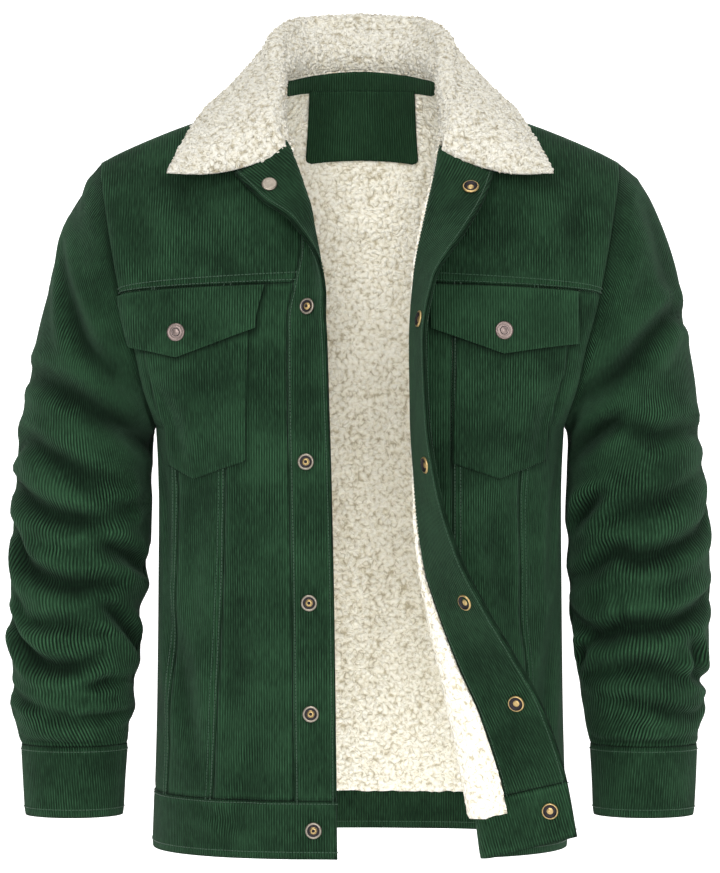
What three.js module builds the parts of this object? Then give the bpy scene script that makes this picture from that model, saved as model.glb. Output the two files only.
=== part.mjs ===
// A sherpa lined corduroy trucker jacket, filled out as worn and hanging open, with nobody in it.
// Millimetres, +Z up. The front faces -Y.
// The wearer's left is +X (tag "l") and the wearer's right is -X (tag "r").
// The origin is on the middle plane, level with the shoulder seams just below where they meet the neck.
import * as THREE from "three";

const RAD = Math.PI / 180;
const lerp = (a, b, t) => a + (b - a) * t;
const clamp = (v, lo, hi) => Math.min(hi, Math.max(lo, v));
const smooth = (t) => clamp(t, 0, 1) ** 2 * (3 - 2 * clamp(t, 0, 1));
const vec = (x, y, z) => new THREE.Vector3(x, y, z);

// Heights of the main lines of the cut
const HEM = -697;
const LINING_FOOT = -660;
const WAIST_SEAM = -645;
const ARMPIT = -310;
const YOKE_SEAM = -181;
const YOKE_DROP = 10; // the yoke seam is this much lower at the armhole than at the front edge
const SHOULDER_POINT = { x: 240, z: -64 };
const NECK_POINT = { x: 82, z: 11 };

// Cloth, measured as offsets from the garment's outer surface (+ out, - in)
const SHELL = { out: 0, in: -1.6 };
const BAND = { out: 0.6, in: -1.8 };
const PLACKET = { out: 0.6, in: -1.6 };
const FACING = { out: -2.1, in: -3.5 };
const SHERPA = { out: -2.4, in: -7.2 };
const POCKET_BAG = { out: 1.8, in: 0.6 };
const POCKET_FLAP = { out: 4.0, in: 2.4 };
const NECK_STRIP = { out: -7.7, in: -8.9 };
const NECK_PATCH = { out: -9.3, in: -10.5 };
const COLLAR_SHERPA = { out: 0, in: -4.6 };
const UNDER_COLLAR = { out: -5.2, in: -6.4 };
const SEAM_INSET = 0.16; // each piece stops this short of a seam, so two pieces lie about 0.3 apart
const LINING_INSET = 0.8;

// The torso's horizontal sections: half width at the side or armhole, and depth in front and behind
const TORSO = [
  { z: -697, half: 192, front: 125, back: 114 },
  { z: -640, half: 190, front: 125, back: 113 },
  { z: -560, half: 188, front: 125, back: 111 },
  { z: -460, half: 187, front: 125, back: 111 },
  { z: -383, half: 186.5, front: 125, back: 113 },
  { z: -310, half: 189.5, front: 123, back: 116 },
  { z: -275, half: 198, front: 120, back: 117 },
  { z: -240, half: 205, front: 116, back: 117 },
  { z: -215, half: 212, front: 112, back: 117 },
  { z: -181, half: 220, front: 106, back: 117 },
  { z: -145, half: 227, front: 98, back: 116 },
  { z: -110, half: 233, front: 88, back: 114 },
  { z: -64, half: 240, front: 69, back: 110 },
  { z: 12, half: 243, front: 54, back: 106 },
  { z: 60, half: 243, front: 48, back: 104 },
];
const SQUARENESS = 2.5; // exponent of the superellipse; 2 is an ellipse
// Half depth of the armhole, the height where it starts to close, and where its pull on the cloth dies out
const ARMHOLE = { depth: 78, turn: -215, spread: -390 };
const SHOULDER_ROUNDING = 110; // the fronts and back curve over to the shoulder seam within this height

// The line of the shoulders, seen from the front
const RIDGE = [
  { x: 0, z: 68 },
  { x: 40, z: 52 },
  { x: 66, z: 28 },
  { x: 82, z: 11 },
  { x: 110, z: -6 },
  { x: 147, z: -24 },
  { x: 175, z: -34.5 },
  { x: 203, z: -46 },
  { x: 225, z: -56 },
  { x: 240, z: -64 },
];

// How each front edge turns out: start, angle and length of its turn, the flat cloth after it, and the fall
const LAPEL = {
  r: [
    { z: -697, start: 56.6, turn: 4, arc: 31.5, flap: 5, fall: 0 },
    { z: -468, start: 59.7, turn: 10, arc: 31.5, flap: 5, fall: 0 },
    { z: -343, start: 62.3, turn: 18, arc: 31.5, flap: 5, fall: 0 },
    { z: -279, start: 63.7, turn: 28, arc: 31.5, flap: 5, fall: 0 },
    { z: -215, start: 64, turn: 45, arc: 31.5, flap: 5, fall: 0 },
    { z: -186, start: 60, turn: 65, arc: 29.5, flap: 8, fall: -4 },
    { z: -150, start: 54, turn: 105, arc: 26, flap: 12, fall: -10 },
    { z: -119, start: 54.5, turn: 138, arc: 22, flap: 18, fall: -20 },
    { z: -90, start: 60.5, turn: 158, arc: 18, flap: 31, fall: -28 },
    { z: -53, start: 73, turn: 170, arc: 16.5, flap: 41.5, fall: -33 },
  ],
  l: [
    { z: -697, start: 119, turn: 172, arc: 30, flap: 76, fall: 15 },
    { z: -640, start: 111, turn: 168, arc: 29.3, flap: 75, fall: 14 },
    { z: -572, start: 97, turn: 160, arc: 27.9, flap: 71, fall: 13 },
    { z: -524, start: 87, turn: 148, arc: 25.8, flap: 64, fall: 11 },
    { z: -481, start: 77, turn: 135, arc: 23.6, flap: 61, fall: 8 },
    { z: -428, start: 68, turn: 122, arc: 21.3, flap: 54, fall: 5 },
    { z: -358, start: 61, turn: 110, arc: 19.2, flap: 49, fall: 2 },
    { z: -300, start: 57.5, turn: 106, arc: 18.5, flap: 47, fall: 0 },
    { z: -235, start: 57, turn: 104, arc: 18.2, flap: 46, fall: 0 },
    { z: -176, start: 61, turn: 108, arc: 18.8, flap: 49, fall: -8 },
    { z: -119, start: 70, turn: 132, arc: 18.4, flap: 47, fall: -18 },
    { z: -80, start: 77, turn: 156, arc: 17, flap: 43, fall: -25 },
    { z: -57, start: 80, turn: 170, arc: 16, flap: 42, fall: -28 },
  ],
};
// Where the neck seam ends at the turn of each front
const NECK_END = { r: { x: 73, z: -53 }, l: { x: 80, z: -57 } };
// Height of that row at the armhole and at the middle of the back
const NECK_ROW = { armhole: -125, back: -55 };

// Seams of each front, as distances of cloth in from the free edge
const PLACKET_WIDTH = 38;
const FACING_WIDTH = 58;
const FRONT_SEAMS = {
  r: [
    { z: -697, centre: 118, middle: 178 },
    { z: -480, centre: 104, middle: 160 },
    { z: -360, centre: 98, middle: 152 },
    { z: -181, centre: 92, middle: 163 },
  ],
  l: [
    { z: -697, centre: 90, middle: 166 },
    { z: -480, centre: 90, middle: 160 },
    { z: -360, centre: 90, middle: 158 },
    { z: -181, centre: 90, middle: 163 },
  ],
};
// Cells across each front: placket, rest of the facing, centre, middle and side panels
const FRONT_CELLS = { r: [2, 2, 3, 4, 3], l: [2, 2, 4, 5, 3] };
// How far the side seam lies in front of the widest point, below the armpit
const SIDE_SEAM_SHIFT = { r: -22, l: 12 };

const BELOW_ARMPIT = [HEM, LINING_FOOT, WAIST_SEAM, -580, -515, -450, -380];
const LOWER_ROWS = [...BELOW_ARMPIT, ARMPIT, -298, -272, -230, YOKE_SEAM];
const LAPEL_ROWS = [0.36, 0.7, 1]; // rows from the yoke seam to the neck end
const SHOULDER_ROWS = [0.35, 0.65, 0.88, 1]; // rows from there to the shoulder seam
const BACK_PARTS = [4, 4, 4]; // cells of the back's top edge: shoulder, neck, shoulder
const BACK_CELLS = 12;

// Monotone cubic interpolation of one column of a table, in its first column
function columnOf(table, key, column) {
  const rows = [...table].sort((a, b) => a[key] - b[key]);
  const x = rows.map((row) => row[key]);
  const y = rows.map((row) => row[column]);
  const last = x.length - 1;
  const rise = x.slice(1).map((v, i) => (y[i + 1] - y[i]) / (v - x[i]));
  const slope = x.map((_, i) => {
    if (i === 0) return rise[0];
    if (i === last) return rise[last - 1];
    return rise[i - 1] * rise[i] <= 0 ? 0 : (2 * rise[i - 1] * rise[i]) / (rise[i - 1] + rise[i]);
  });
  return (at) => {
    const v = clamp(at, x[0], x[last]);
    let i = 0;
    while (i < last - 1 && v > x[i + 1]) i += 1;
    const width = x[i + 1] - x[i];
    const t = (v - x[i]) / width;
    const a = (1 + 2 * t) * (1 - t) ** 2 * y[i] + t * (1 - t) ** 2 * width * slope[i];
    const b = t * t * (3 - 2 * t) * y[i + 1] + t * t * (t - 1) * width * slope[i + 1];
    return a + b;
  };
}

const halfWidth = columnOf(TORSO, "z", "half");
const frontDepth = columnOf(TORSO, "z", "front");
const backDepth = columnOf(TORSO, "z", "back");
const ridgeHeight = columnOf(RIDGE, "x", "z");

// Half depth of the armhole at a height: 0 at the armpit, full above the height where it starts to close
function armholeDepth(z) {
  if (z <= ARMPIT) return 0;
  if (z >= ARMHOLE.turn) return ARMHOLE.depth;
  return ARMHOLE.depth * Math.sqrt(1 - ((ARMHOLE.turn - z) / (ARMHOLE.turn - ARMPIT)) ** 2);
}

// 1 well below the shoulder line and 0 on it, as a quarter ellipse
function shoulderCurve(x, z) {
  const below = clamp((ridgeHeight(Math.abs(x)) - z) / SHOULDER_ROUNDING, 0, 1);
  return Math.sqrt(1 - (1 - below) ** 2);
}

// How far the cloth stands in front of the middle plane (facing -1) or behind it (facing 1), at x and z.
// The section closes to a point at the side below the armpit and stops at the armhole above it.
function torsoDepth(x, z, facing) {
  const full = facing < 0 ? frontDepth(z) : backDepth(z);
  const across = clamp(Math.abs(x) / halfWidth(z), 0, 1);
  const open = ARMHOLE.depth * smooth((z - ARMHOLE.spread) / (ARMHOLE.turn - ARMHOLE.spread));
  const depth = open + (full - open) * (1 - across ** SQUARENESS) ** (1 / SQUARENESS);
  const edge = (armholeDepth(z) - open) * across ** 20;
  return facing * ((depth + edge) * shoulderCurve(x, z) + bodyFold(x, z, facing));
}

// Soft folds in the body: each hangs from a height, with a lean, a half width and a depth
const BODY_FOLDS = {
  front: [
    { x: 150, z: -430, lean: 0.12, width: 16, depth: -4, reach: 170 },
    { x: 176, z: -560, lean: 0.1, width: 14, depth: 3, reach: 120 },
  ],
  back: [
    { x: 95, z: -430, lean: 0.1, width: 26, depth: 5, reach: 210 },
    { x: 40, z: -520, lean: 0.06, width: 24, depth: -4, reach: 160 },
    { x: 150, z: -330, lean: 0.3, width: 18, depth: -5, reach: 130 },
  ],
};

function bodyFold(x, z, facing) {
  const folds = facing < 0 ? BODY_FOLDS.front : BODY_FOLDS.back;
  return folds.reduce((sum, fold) => {
    const off = (Math.abs(x) - fold.x - fold.lean * (fold.z - z)) / fold.width;
    const along = (z - fold.z) / fold.reach;
    return sum + fold.depth * Math.exp(-off * off) * Math.exp(-along * along);
  }, 0);
}

// A point of the torso by angle from the side; a negative angle runs on past the side to the other face
function ringPoint(z, angle, face) {
  const facing = angle >= 0 ? face : -face;
  const turn = Math.abs(angle);
  const x = halfWidth(z) * Math.cos(turn) ** (2 / SQUARENESS);
  return vec(x, torsoDepth(x, z, facing), z);
}

// Height of a row up to the yoke seam: level to the armpit, then dropping towards the armhole (share 0)
function rowHeight(level, share) {
  const z = lerp(HEM, YOKE_SEAM, Math.min(level, 1));
  return z - YOKE_DROP * (1 - share) * clamp((z - ARMPIT) / (YOKE_SEAM - ARMPIT), 0, 1);
}

// The angle of the side seam at a height
function sideSeamAngle(side, z) {
  const shift = SIDE_SEAM_SHIFT[side] * smooth((ARMPIT - z) / 110);
  return Math.sign(shift) * (Math.abs(shift) / frontDepth(z)) ** (SQUARENESS / 2);
}

// A polyline with its lengths, read by distance from its start
function measured(points) {
  const lengths = [0];
  points.slice(1).forEach((p, i) => lengths.push(lengths[i] + p.distanceTo(points[i])));
  const total = lengths[lengths.length - 1];
  const at = (distance) => {
    const d = clamp(distance, 0, total);
    let i = 0;
    while (i < points.length - 2 && d > lengths[i + 1]) i += 1;
    return points[i].clone().lerp(points[i + 1], (d - lengths[i]) / (lengths[i + 1] - lengths[i]));
  };
  return { at, total, lengths, points };
}

const steps = (count) => [...Array(count + 1).keys()].map((i) => i / count);

const lapelColumns = {};
for (const side of ["r", "l"]) {
  lapelColumns[side] = {};
  for (const name of ["start", "turn", "arc", "flap", "fall"])
    lapelColumns[side][name] = columnOf(LAPEL[side], "z", name);
}

// A point above the yoke seam, and how far rows have gone from the yoke seam (0) to the neck end (1)
// and from there to the shoulder seam (2)
const between = (a, b, t) => ({ x: lerp(a.x, b.x, t), z: lerp(a.z, b.z, t) });
function above(level, share, yoke, neck, top) {
  const low = between(yoke(share), neck(share), Math.min(level - 1, 1));
  return level <= 2 ? low : between(neck(share), top(share), level - 2);
}

// One row of a front as a dense line from its free edge (or the neck) to the side seam or armhole, for the
// wearer's left. level runs from 0 at the hem to 1 at the yoke seam, 2 at the neck end and 3 at the shoulder.
function frontRow(side, level) {
  const lapel = lapelColumns[side];
  const end = NECK_END[side];
  const yoke = (share) => {
    const z = rowHeight(Math.min(level, 1), share);
    const first = z > ARMPIT ? 0 : sideSeamAngle(side, z);
    const start = lapel.start(rowHeight(Math.min(level, 1), 1));
    const last = Math.acos((start / halfWidth(z)) ** (SQUARENESS / 2));
    const turn = lerp(first, last, share);
    return { x: halfWidth(z) * Math.cos(turn) ** (2 / SQUARENESS), z, turn };
  };
  const neck = (share) => ({
    x: lerp(halfWidth(NECK_ROW.armhole), end.x, share),
    z: lerp(NECK_ROW.armhole, end.z, share),
  });
  const top = (share) => {
    const x = lerp(SHOULDER_POINT.x, NECK_POINT.x, share);
    return { x, z: ridgeHeight(x) };
  };
  const bodyAt = (share) => {
    if (level <= 1) return ringPoint(yoke(share).z, yoke(share).turn, -1);
    const place = above(level, share, yoke, neck, top);
    const [outer, inner] = [above(level, 0, yoke, neck, top), above(level, 1, yoke, neck, top)];
    const wanted = level <= 2 ? lapel.start(inner.z) : inner.x + 4 * Math.sin(Math.PI * (level - 2));
    place.x += (halfWidth(outer.z) - outer.x) * (1 - share) ** 4 + (wanted - inner.x) * share ** 4;
    return vec(place.x, torsoDepth(place.x, place.z, -1), place.z);
  };
  const body = steps(80).map((t) => bodyAt(t));
  if (level > 2) return measured(body.reverse());
  const root = body[body.length - 1];
  const angle = lapel.turn(root.z) * RAD;
  const arc = lapel.arc(root.z);
  const flap = lapel.flap(root.z);
  const slope = Math.tan(lapel.fall(root.z) * RAD);
  const radius = arc / angle;
  const turned = (a, extra) =>
    vec(
      root.x - radius * Math.sin(a) - extra * Math.cos(a),
      root.y - radius * (1 - Math.cos(a)) - extra * Math.sin(a),
      root.z + slope * ((a / angle) ** 2 * arc * 0.3 + extra),
    );
  const roll = steps(24).slice(1).map((t) => turned(angle * t, 0));
  const flat = steps(12).slice(1).map((t) => turned(angle, flap * t));
  return measured([...body, ...roll, ...flat].reverse());
}

// The cloth distances of a front's columns in one row
function frontColumns(side, level, row) {
  const seams = FRONT_SEAMS[side];
  const z = lerp(HEM, YOKE_SEAM, Math.min(level, 1));
  const rise = clamp(level - 1, 0, 1);
  const first = level > 2 ? 0 : FACING_WIDTH;
  const room = row.total - first;
  const centre = lerp(columnOf(seams, "z", "centre")(z), first + room * 0.3, rise);
  const middle = lerp(columnOf(seams, "z", "middle")(z), first + room * 0.64, rise);
  const anchors = [0, Math.min(first, PLACKET_WIDTH), first, centre, middle, row.total];
  const columns = [0];
  FRONT_CELLS[side].forEach((cells, k) => {
    for (let i = 1; i <= cells; i += 1) columns.push(lerp(anchors[k], anchors[k + 1], i / cells));
  });
  return columns;
}

const mirrored = (p) => vec(-p.x, p.y, p.z);

// Vertex normals of a grid from its neighbours; "there" says which places exist
function gridNormals(points, wrap, there = () => true) {
  const rows = points.length;
  const cols = points[0].length;
  const known = (j, i) => j >= 0 && j < rows && i >= 0 && i < cols && there(j, i);
  return points.map((row, j) =>
    row.map((p, i) => {
      const left = wrap ? (i + cols - 1) % cols : i - 1;
      const right = wrap ? (i + 1) % cols : i + 1;
      const from = known(j, left) ? points[j][left] : p;
      const to = known(j, right) ? points[j][right] : p;
      const below = known(j - 1, i) ? points[j - 1][i] : p;
      const over = known(j + 1, i) ? points[j + 1][i] : p;
      return to.clone().sub(from).cross(over.clone().sub(below)).normalize();
    }),
  );
}

const lowerLevel = (z) => (z - HEM) / (YOKE_SEAM - HEM);
const LEVELS = [
  ...LOWER_ROWS.map(lowerLevel),
  ...LAPEL_ROWS.map((t) => 1 + t),
  ...SHOULDER_ROWS.map((t) => 2 + t),
];
const YOKE_INDEX = LOWER_ROWS.length - 1;
const NECK_INDEX = YOKE_INDEX + LAPEL_ROWS.length;
const ARMPIT_INDEX = LOWER_ROWS.indexOf(ARMPIT);
const TOP_INDEX = LEVELS.length - 1;

// Along the shoulder seam the walls of front and back stand square to the line of the shoulders
function squareToShoulder(points, normals) {
  points.forEach((p, i) => {
    const x = Math.abs(p.x);
    if (Math.abs(p.y) > 0.3 || x < NECK_POINT.x - 0.5) return;
    const rise = ridgeHeight(Math.max(x - 6, NECK_POINT.x)) - ridgeHeight(x + 6);
    normals[i].set(Math.sign(p.x) * rise, 0, x + 6 - Math.max(x - 6, NECK_POINT.x)).normalize();
  });
}

// A front: rows from hem to top, columns from the free edge to the side
function makeFront(side) {
  const lines = LEVELS.map((level) => frontRow(side, level));
  const distances = lines.map((line, j) => frontColumns(side, LEVELS[j], line));
  let points = lines.map((line, j) => distances[j].map((d) => line.at(d)));
  if (side === "r") points = points.map((row) => row.map(mirrored));
  const neck = FRONT_CELLS[side][0] + FRONT_CELLS[side][1]; // the column that runs up the neck edge
  const there = (j, i) => j <= NECK_INDEX || i >= neck;
  const normals = gridNormals(points, false, there);
  const sign = side === "r" ? -1 : 1;
  normals.forEach((row) => row.forEach((n) => n.multiplyScalar(sign)));
  squareToShoulder(points[TOP_INDEX], normals[TOP_INDEX]);
  return { points, normals, distances, neck };
}

// The back's rows, columns from the wearer's right side seam to the left one
function backRow(level) {
  const yoke = (side, share) => {
    const z = rowHeight(Math.min(level, 1), 0);
    const first = z > ARMPIT ? 0 : -sideSeamAngle(side, z);
    const turn = lerp(first, Math.PI / 2, share);
    return { x: halfWidth(z) * Math.cos(turn) ** (2 / SQUARENESS), z, turn };
  };
  const neck = (share) => ({
    x: lerp(halfWidth(NECK_ROW.armhole), 0, share),
    z: lerp(NECK_ROW.armhole, NECK_ROW.back, smooth(share)),
  });
  const half = (side) =>
    steps(80).map((share) => {
      if (level <= 1) return ringPoint(yoke(side, share).z, yoke(side, share).turn, 1);
      const place = above(level, share, (t) => yoke(side, t), neck, backTop);
      const outer = above(level, 0, (t) => yoke(side, t), neck, backTop);
      place.x += (halfWidth(outer.z) - outer.x) * (1 - share) ** 4;
      return vec(place.x, torsoDepth(place.x, place.z, 1), place.z);
    });
  const right = half("r").map(mirrored);
  const left = half("l").reverse();
  const line = measured([...right, ...left.slice(1)]);
  const corner = Math.round(BACK_NECK_SHARE * 80);
  return { ...line, neck: [line.lengths[corner], line.lengths[160 - corner]] };
}

function makeBack() {
  const points = LEVELS.map((level) => {
    const row = backRow(level);
    const anchors = [0, ...row.neck, row.total];
    const tops = [0];
    BACK_PARTS.forEach((cells, k) => {
      for (let i = 1; i <= cells; i += 1) tops.push(lerp(anchors[k], anchors[k + 1], i / cells));
    });
    return tops.map((d, i) => row.at(lerp((row.total * i) / BACK_CELLS, d, clamp(level - 1, 0, 1))));
  });
  const normals = gridNormals(points, false);
  normals.forEach((row) => row.forEach((n) => n.multiplyScalar(-1)));
  squareToShoulder(points[TOP_INDEX], normals[TOP_INDEX]);
  return { points, normals };
}

const BACK_NECK_SHARE = 0.7;
const BACK_NECK_HEIGHT = 34;
function backTop(share) {
  if (share <= BACK_NECK_SHARE) {
    const x = lerp(SHOULDER_POINT.x, NECK_POINT.x, share / BACK_NECK_SHARE);
    return { x, z: ridgeHeight(x) };
  }
  const t = (share - BACK_NECK_SHARE) / (1 - BACK_NECK_SHARE);
  const x = NECK_POINT.x * Math.cos((t * Math.PI) / 2);
  return { x, z: lerp(NECK_POINT.z, BACK_NECK_HEIGHT, Math.sin((t * Math.PI) / 2) ** 1.4) };
}

const fronts = { r: makeFront("r"), l: makeFront("l") };
const back = makeBack();

// Fronts and back share their points and directions along the side seams
for (const side of ["r", "l"]) {
  const front = fronts[side];
  const edge = front.points[0].length - 1;
  const backEdge = side === "r" ? 0 : BACK_CELLS;
  const backNext = side === "r" ? 1 : BACK_CELLS - 1;
  for (let j = 0; j <= TOP_INDEX; j += 1) {
    if (j > ARMPIT_INDEX) continue;
    back.points[j][backEdge] = front.points[j][edge].clone();
    const across = front.points[j][edge - 1].clone().sub(back.points[j][backNext]);
    const up = front.points[Math.min(j + 1, ARMPIT_INDEX)][edge]
      .clone()
      .sub(front.points[Math.max(j - 1, 0)][edge]);
    const normal = up.cross(across).normalize();
    if (Math.sign(normal.x) !== (side === "r" ? -1 : 1)) normal.negate();
    front.normals[j][edge] = normal;
    back.normals[j][backEdge] = normal.clone();
  }
}

// A closed wall between two offsets of blocks of a grid's cells; a block is [rows from, to, columns from, to]
// Along an open edge the points are drawn in from the seam by the inset.
function wall(points, normals, layer, options = {}) {
  const { wrap = false, inset = SEAM_INSET } = options;
  const rows = points.length;
  const cols = points[0].length;
  const blocks = options.blocks ?? [[0, rows - 1, 0, wrap ? cols : cols - 1]];
  const filled = (j, i) => blocks.some(([j0, j1, i0, i1]) => j >= j0 && j < j1 && i >= i0 && i < i1);
  const cell = (j, i) => filled(j, wrap ? (i + cols) % cols : i);
  const at = (j, i) => points[j][(i + cols) % cols];
  const numbers = new Map();
  const places = [];
  const vertex = (j, i) => {
    const column = wrap ? (i + cols) % cols : i;
    const key = j * cols + column;
    if (numbers.has(key)) return numbers.get(key);
    const p = points[j][column];
    const move = vec(0, 0, 0);
    const pull = (q) => move.add(q.clone().sub(p).setLength(inset));
    const [a, b, c, d] = [cell(j - 1, i - 1), cell(j - 1, i), cell(j, i), cell(j, i - 1)];
    if ((a && !d) || (b && !c)) pull(at(j - 1, i));
    if ((d && !a) || (c && !b)) pull(at(j + 1, i));
    if ((a && !b) || (d && !c)) pull(at(j, i - 1));
    if ((b && !a) || (c && !d)) pull(at(j, i + 1));
    numbers.set(key, places.length);
    places.push({ point: p.clone().add(move), normal: normals[j][column] });
    return numbers.get(key);
  };
  const faces = [];
  for (let j = 0; j < rows - 1; j += 1)
    for (let i = 0; i < (wrap ? cols : cols - 1); i += 1)
      if (filled(j, i)) {
        const [a, b, c, d] = [vertex(j, i), vertex(j, i + 1), vertex(j + 1, i + 1), vertex(j + 1, i)];
        faces.push([a, b, c], [a, c, d]);
      }
  return skinned(places, faces, layer);
}

// Two skins over the same faces, joined along their open edges
function skinned(places, faces, layer) {
  const edges = new Map();
  faces.forEach((face) =>
    face.forEach((a, k) => {
      const b = face[(k + 1) % 3];
      if (edges.has(`${b},${a}`)) edges.delete(`${b},${a}`);
      else edges.set(`${a},${b}`, [a, b]);
    }),
  );
  const vertices = [layer.out, layer.in].flatMap((offset) =>
    places.map(({ point, normal }) => point.clone().addScaledVector(normal, offset)),
  );
  const n = places.length;
  const triangles = faces.flatMap(([a, b, c]) => [a, b, c, n + a, n + c, n + b]);
  // Pieces on the two sides of a seam split its narrow faces the same way: from the lower point's outer end
  edges.forEach(([a, b]) => {
    const [p, q] = [places[a].point, places[b].point];
    const lower = Math.abs(p.z - q.z) > 1 ? p.z < q.z : p.x < q.x;
    if (lower) triangles.push(b, a, n + b, a, n + a, n + b);
    else triangles.push(b, a, n + a, b, n + a, n + b);
  });
  return closedGeometry(vertices, triangles);
}

// Turns the faces outwards if they point in
function closedGeometry(vertices, triangles) {
  let volume = 0;
  for (let k = 0; k < triangles.length; k += 3) {
    const [a, b, c] = [0, 1, 2].map((n) => vertices[triangles[k + n]]);
    volume += a.dot(b.clone().cross(c)) / 6;
  }
  if (volume < 0)
    for (let k = 0; k < triangles.length; k += 3)
      [triangles[k + 1], triangles[k + 2]] = [triangles[k + 2], triangles[k + 1]];
  const geometry = new THREE.BufferGeometry();
  const numbers = vertices.flatMap((v) => v.toArray());
  geometry.setAttribute("position", new THREE.Float32BufferAttribute(numbers, 3));
  geometry.setIndex(triangles);
  return geometry;
}

const MATERIALS = {
  corduroy: new THREE.MeshStandardMaterial({ color: 0x1d3f2a, roughness: 0.9, metalness: 0 }),
  sherpa: new THREE.MeshStandardMaterial({ color: 0xe3dcc8, roughness: 1, metalness: 0 }),
  snap: new THREE.MeshStandardMaterial({ color: 0xa89a8c, roughness: 0.35, metalness: 1 }),
};
const jacket = new THREE.Group();

function add(name, material, geometry) {
  const mesh = new THREE.Mesh(geometry, MATERIALS[material]);
  mesh.name = name;
  jacket.add(mesh);
}

// A panel is made of blocks of a grid's cells
function panel(name, material, grid, layer, ...blocks) {
  const inset = material === "sherpa" ? LINING_INSET : SEAM_INSET;
  add(name, material, wall(grid.points, grid.normals, layer, { blocks, inset }));
}

const [FOOT, WAIST] = [LOWER_ROWS.indexOf(LINING_FOOT), LOWER_ROWS.indexOf(WAIST_SEAM)];
for (const side of ["r", "l"]) {
  const front = fronts[side];
  const ends = FRONT_CELLS[side].reduce((list, cells) => [...list, list[list.length - 1] + cells], [0]);
  const [, placket, facing, centre, middle, last] = ends;
  const shoulder = [NECK_INDEX, TOP_INDEX, facing, last];
  panel(`waistband_${side}`, "corduroy", front, BAND, [0, WAIST, 0, last]);
  panel(`placket_${side}`, "corduroy", front, PLACKET, [WAIST, NECK_INDEX, 0, placket]);
  panel(`front_centre_${side}`, "corduroy", front, SHELL, [WAIST, YOKE_INDEX, placket, centre]);
  panel(`front_middle_${side}`, "corduroy", front, SHELL, [WAIST, YOKE_INDEX, centre, middle]);
  panel(`front_side_${side}`, "corduroy", front, SHELL, [WAIST, YOKE_INDEX, middle, last]);
  panel(`front_yoke_${side}`, "corduroy", front, SHELL, [YOKE_INDEX, NECK_INDEX, placket, last], shoulder);
  panel(`facing_${side}`, "corduroy", front, FACING, [WAIST, NECK_INDEX, 0, facing]);
  panel(`lining_front_${side}`, "sherpa", front, SHERPA, [FOOT, NECK_INDEX, facing, last], shoulder);
}
panel("waistband_back", "corduroy", back, BAND, [0, WAIST, 0, BACK_CELLS]);
panel("back", "corduroy", back, SHELL, [WAIST, YOKE_INDEX, 0, BACK_CELLS]);
panel("back_yoke", "corduroy", back, SHELL, [YOKE_INDEX, TOP_INDEX, 0, BACK_CELLS]);
panel("lining_back", "sherpa", back, SHERPA, [FOOT, TOP_INDEX, 0, BACK_CELLS]);

// A place on a grid is given by its column and row, which may be fractions
function onGrid(grid, column, row) {
  const i = Math.min(Math.floor(column), grid.points[0].length - 2);
  const j = Math.min(Math.floor(row), grid.points.length - 2);
  const [u, v] = [column - i, row - j];
  const blend = (table) => {
    const [a, b, c, d] = [table[j][i], table[j][i + 1], table[j + 1][i + 1], table[j + 1][i]];
    if (u >= v) return a.clone().addScaledVector(b.clone().sub(a), u).addScaledVector(c.clone().sub(b), v);
    return a.clone().addScaledVector(c.clone().sub(d), u).addScaledVector(d.clone().sub(a), v);
  };
  return { point: blend(grid.points), normal: blend(grid.normals).normalize() };
}

// Share between the two neighbours in a rising list that hold a value, as a fractional index
function indexOf(list, value) {
  let i = 0;
  while (i < list.length - 2 && value > list[i + 1]) i += 1;
  return i + (value - list[i]) / (list[i + 1] - list[i]);
}

// Column and row of a place on a front: m is the cloth from the free edge, z the height of its row
const ROW_HEIGHTS = LEVELS.slice(0, YOKE_INDEX + 1).map((level) => rowHeight(level, 1));
function onFront(front, m, z) {
  const row = indexOf(ROW_HEIGHTS, z);
  return onFrontRow(front, m, row);
}
function onFrontRow(front, m, row) {
  const j = Math.min(Math.floor(row), NECK_INDEX - 1);
  const marks = front.distances[j].map((d, i) => lerp(d, front.distances[j + 1][i], row - j));
  return { column: Math.min(indexOf(marks, m), marks.length - 1 - 0.06), row };
}

// Column and row of a place on the back, by its x and the height of its row at the middle
function onBack(x, z) {
  const row = indexOf(back.points.map((line) => line[BACK_CELLS / 2].z), z);
  const j = Math.floor(row);
  const xs = back.points[j].map((p, i) => lerp(p.x, back.points[j + 1][i].x, row - j));
  return { column: indexOf(xs, x), row };
}

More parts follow.
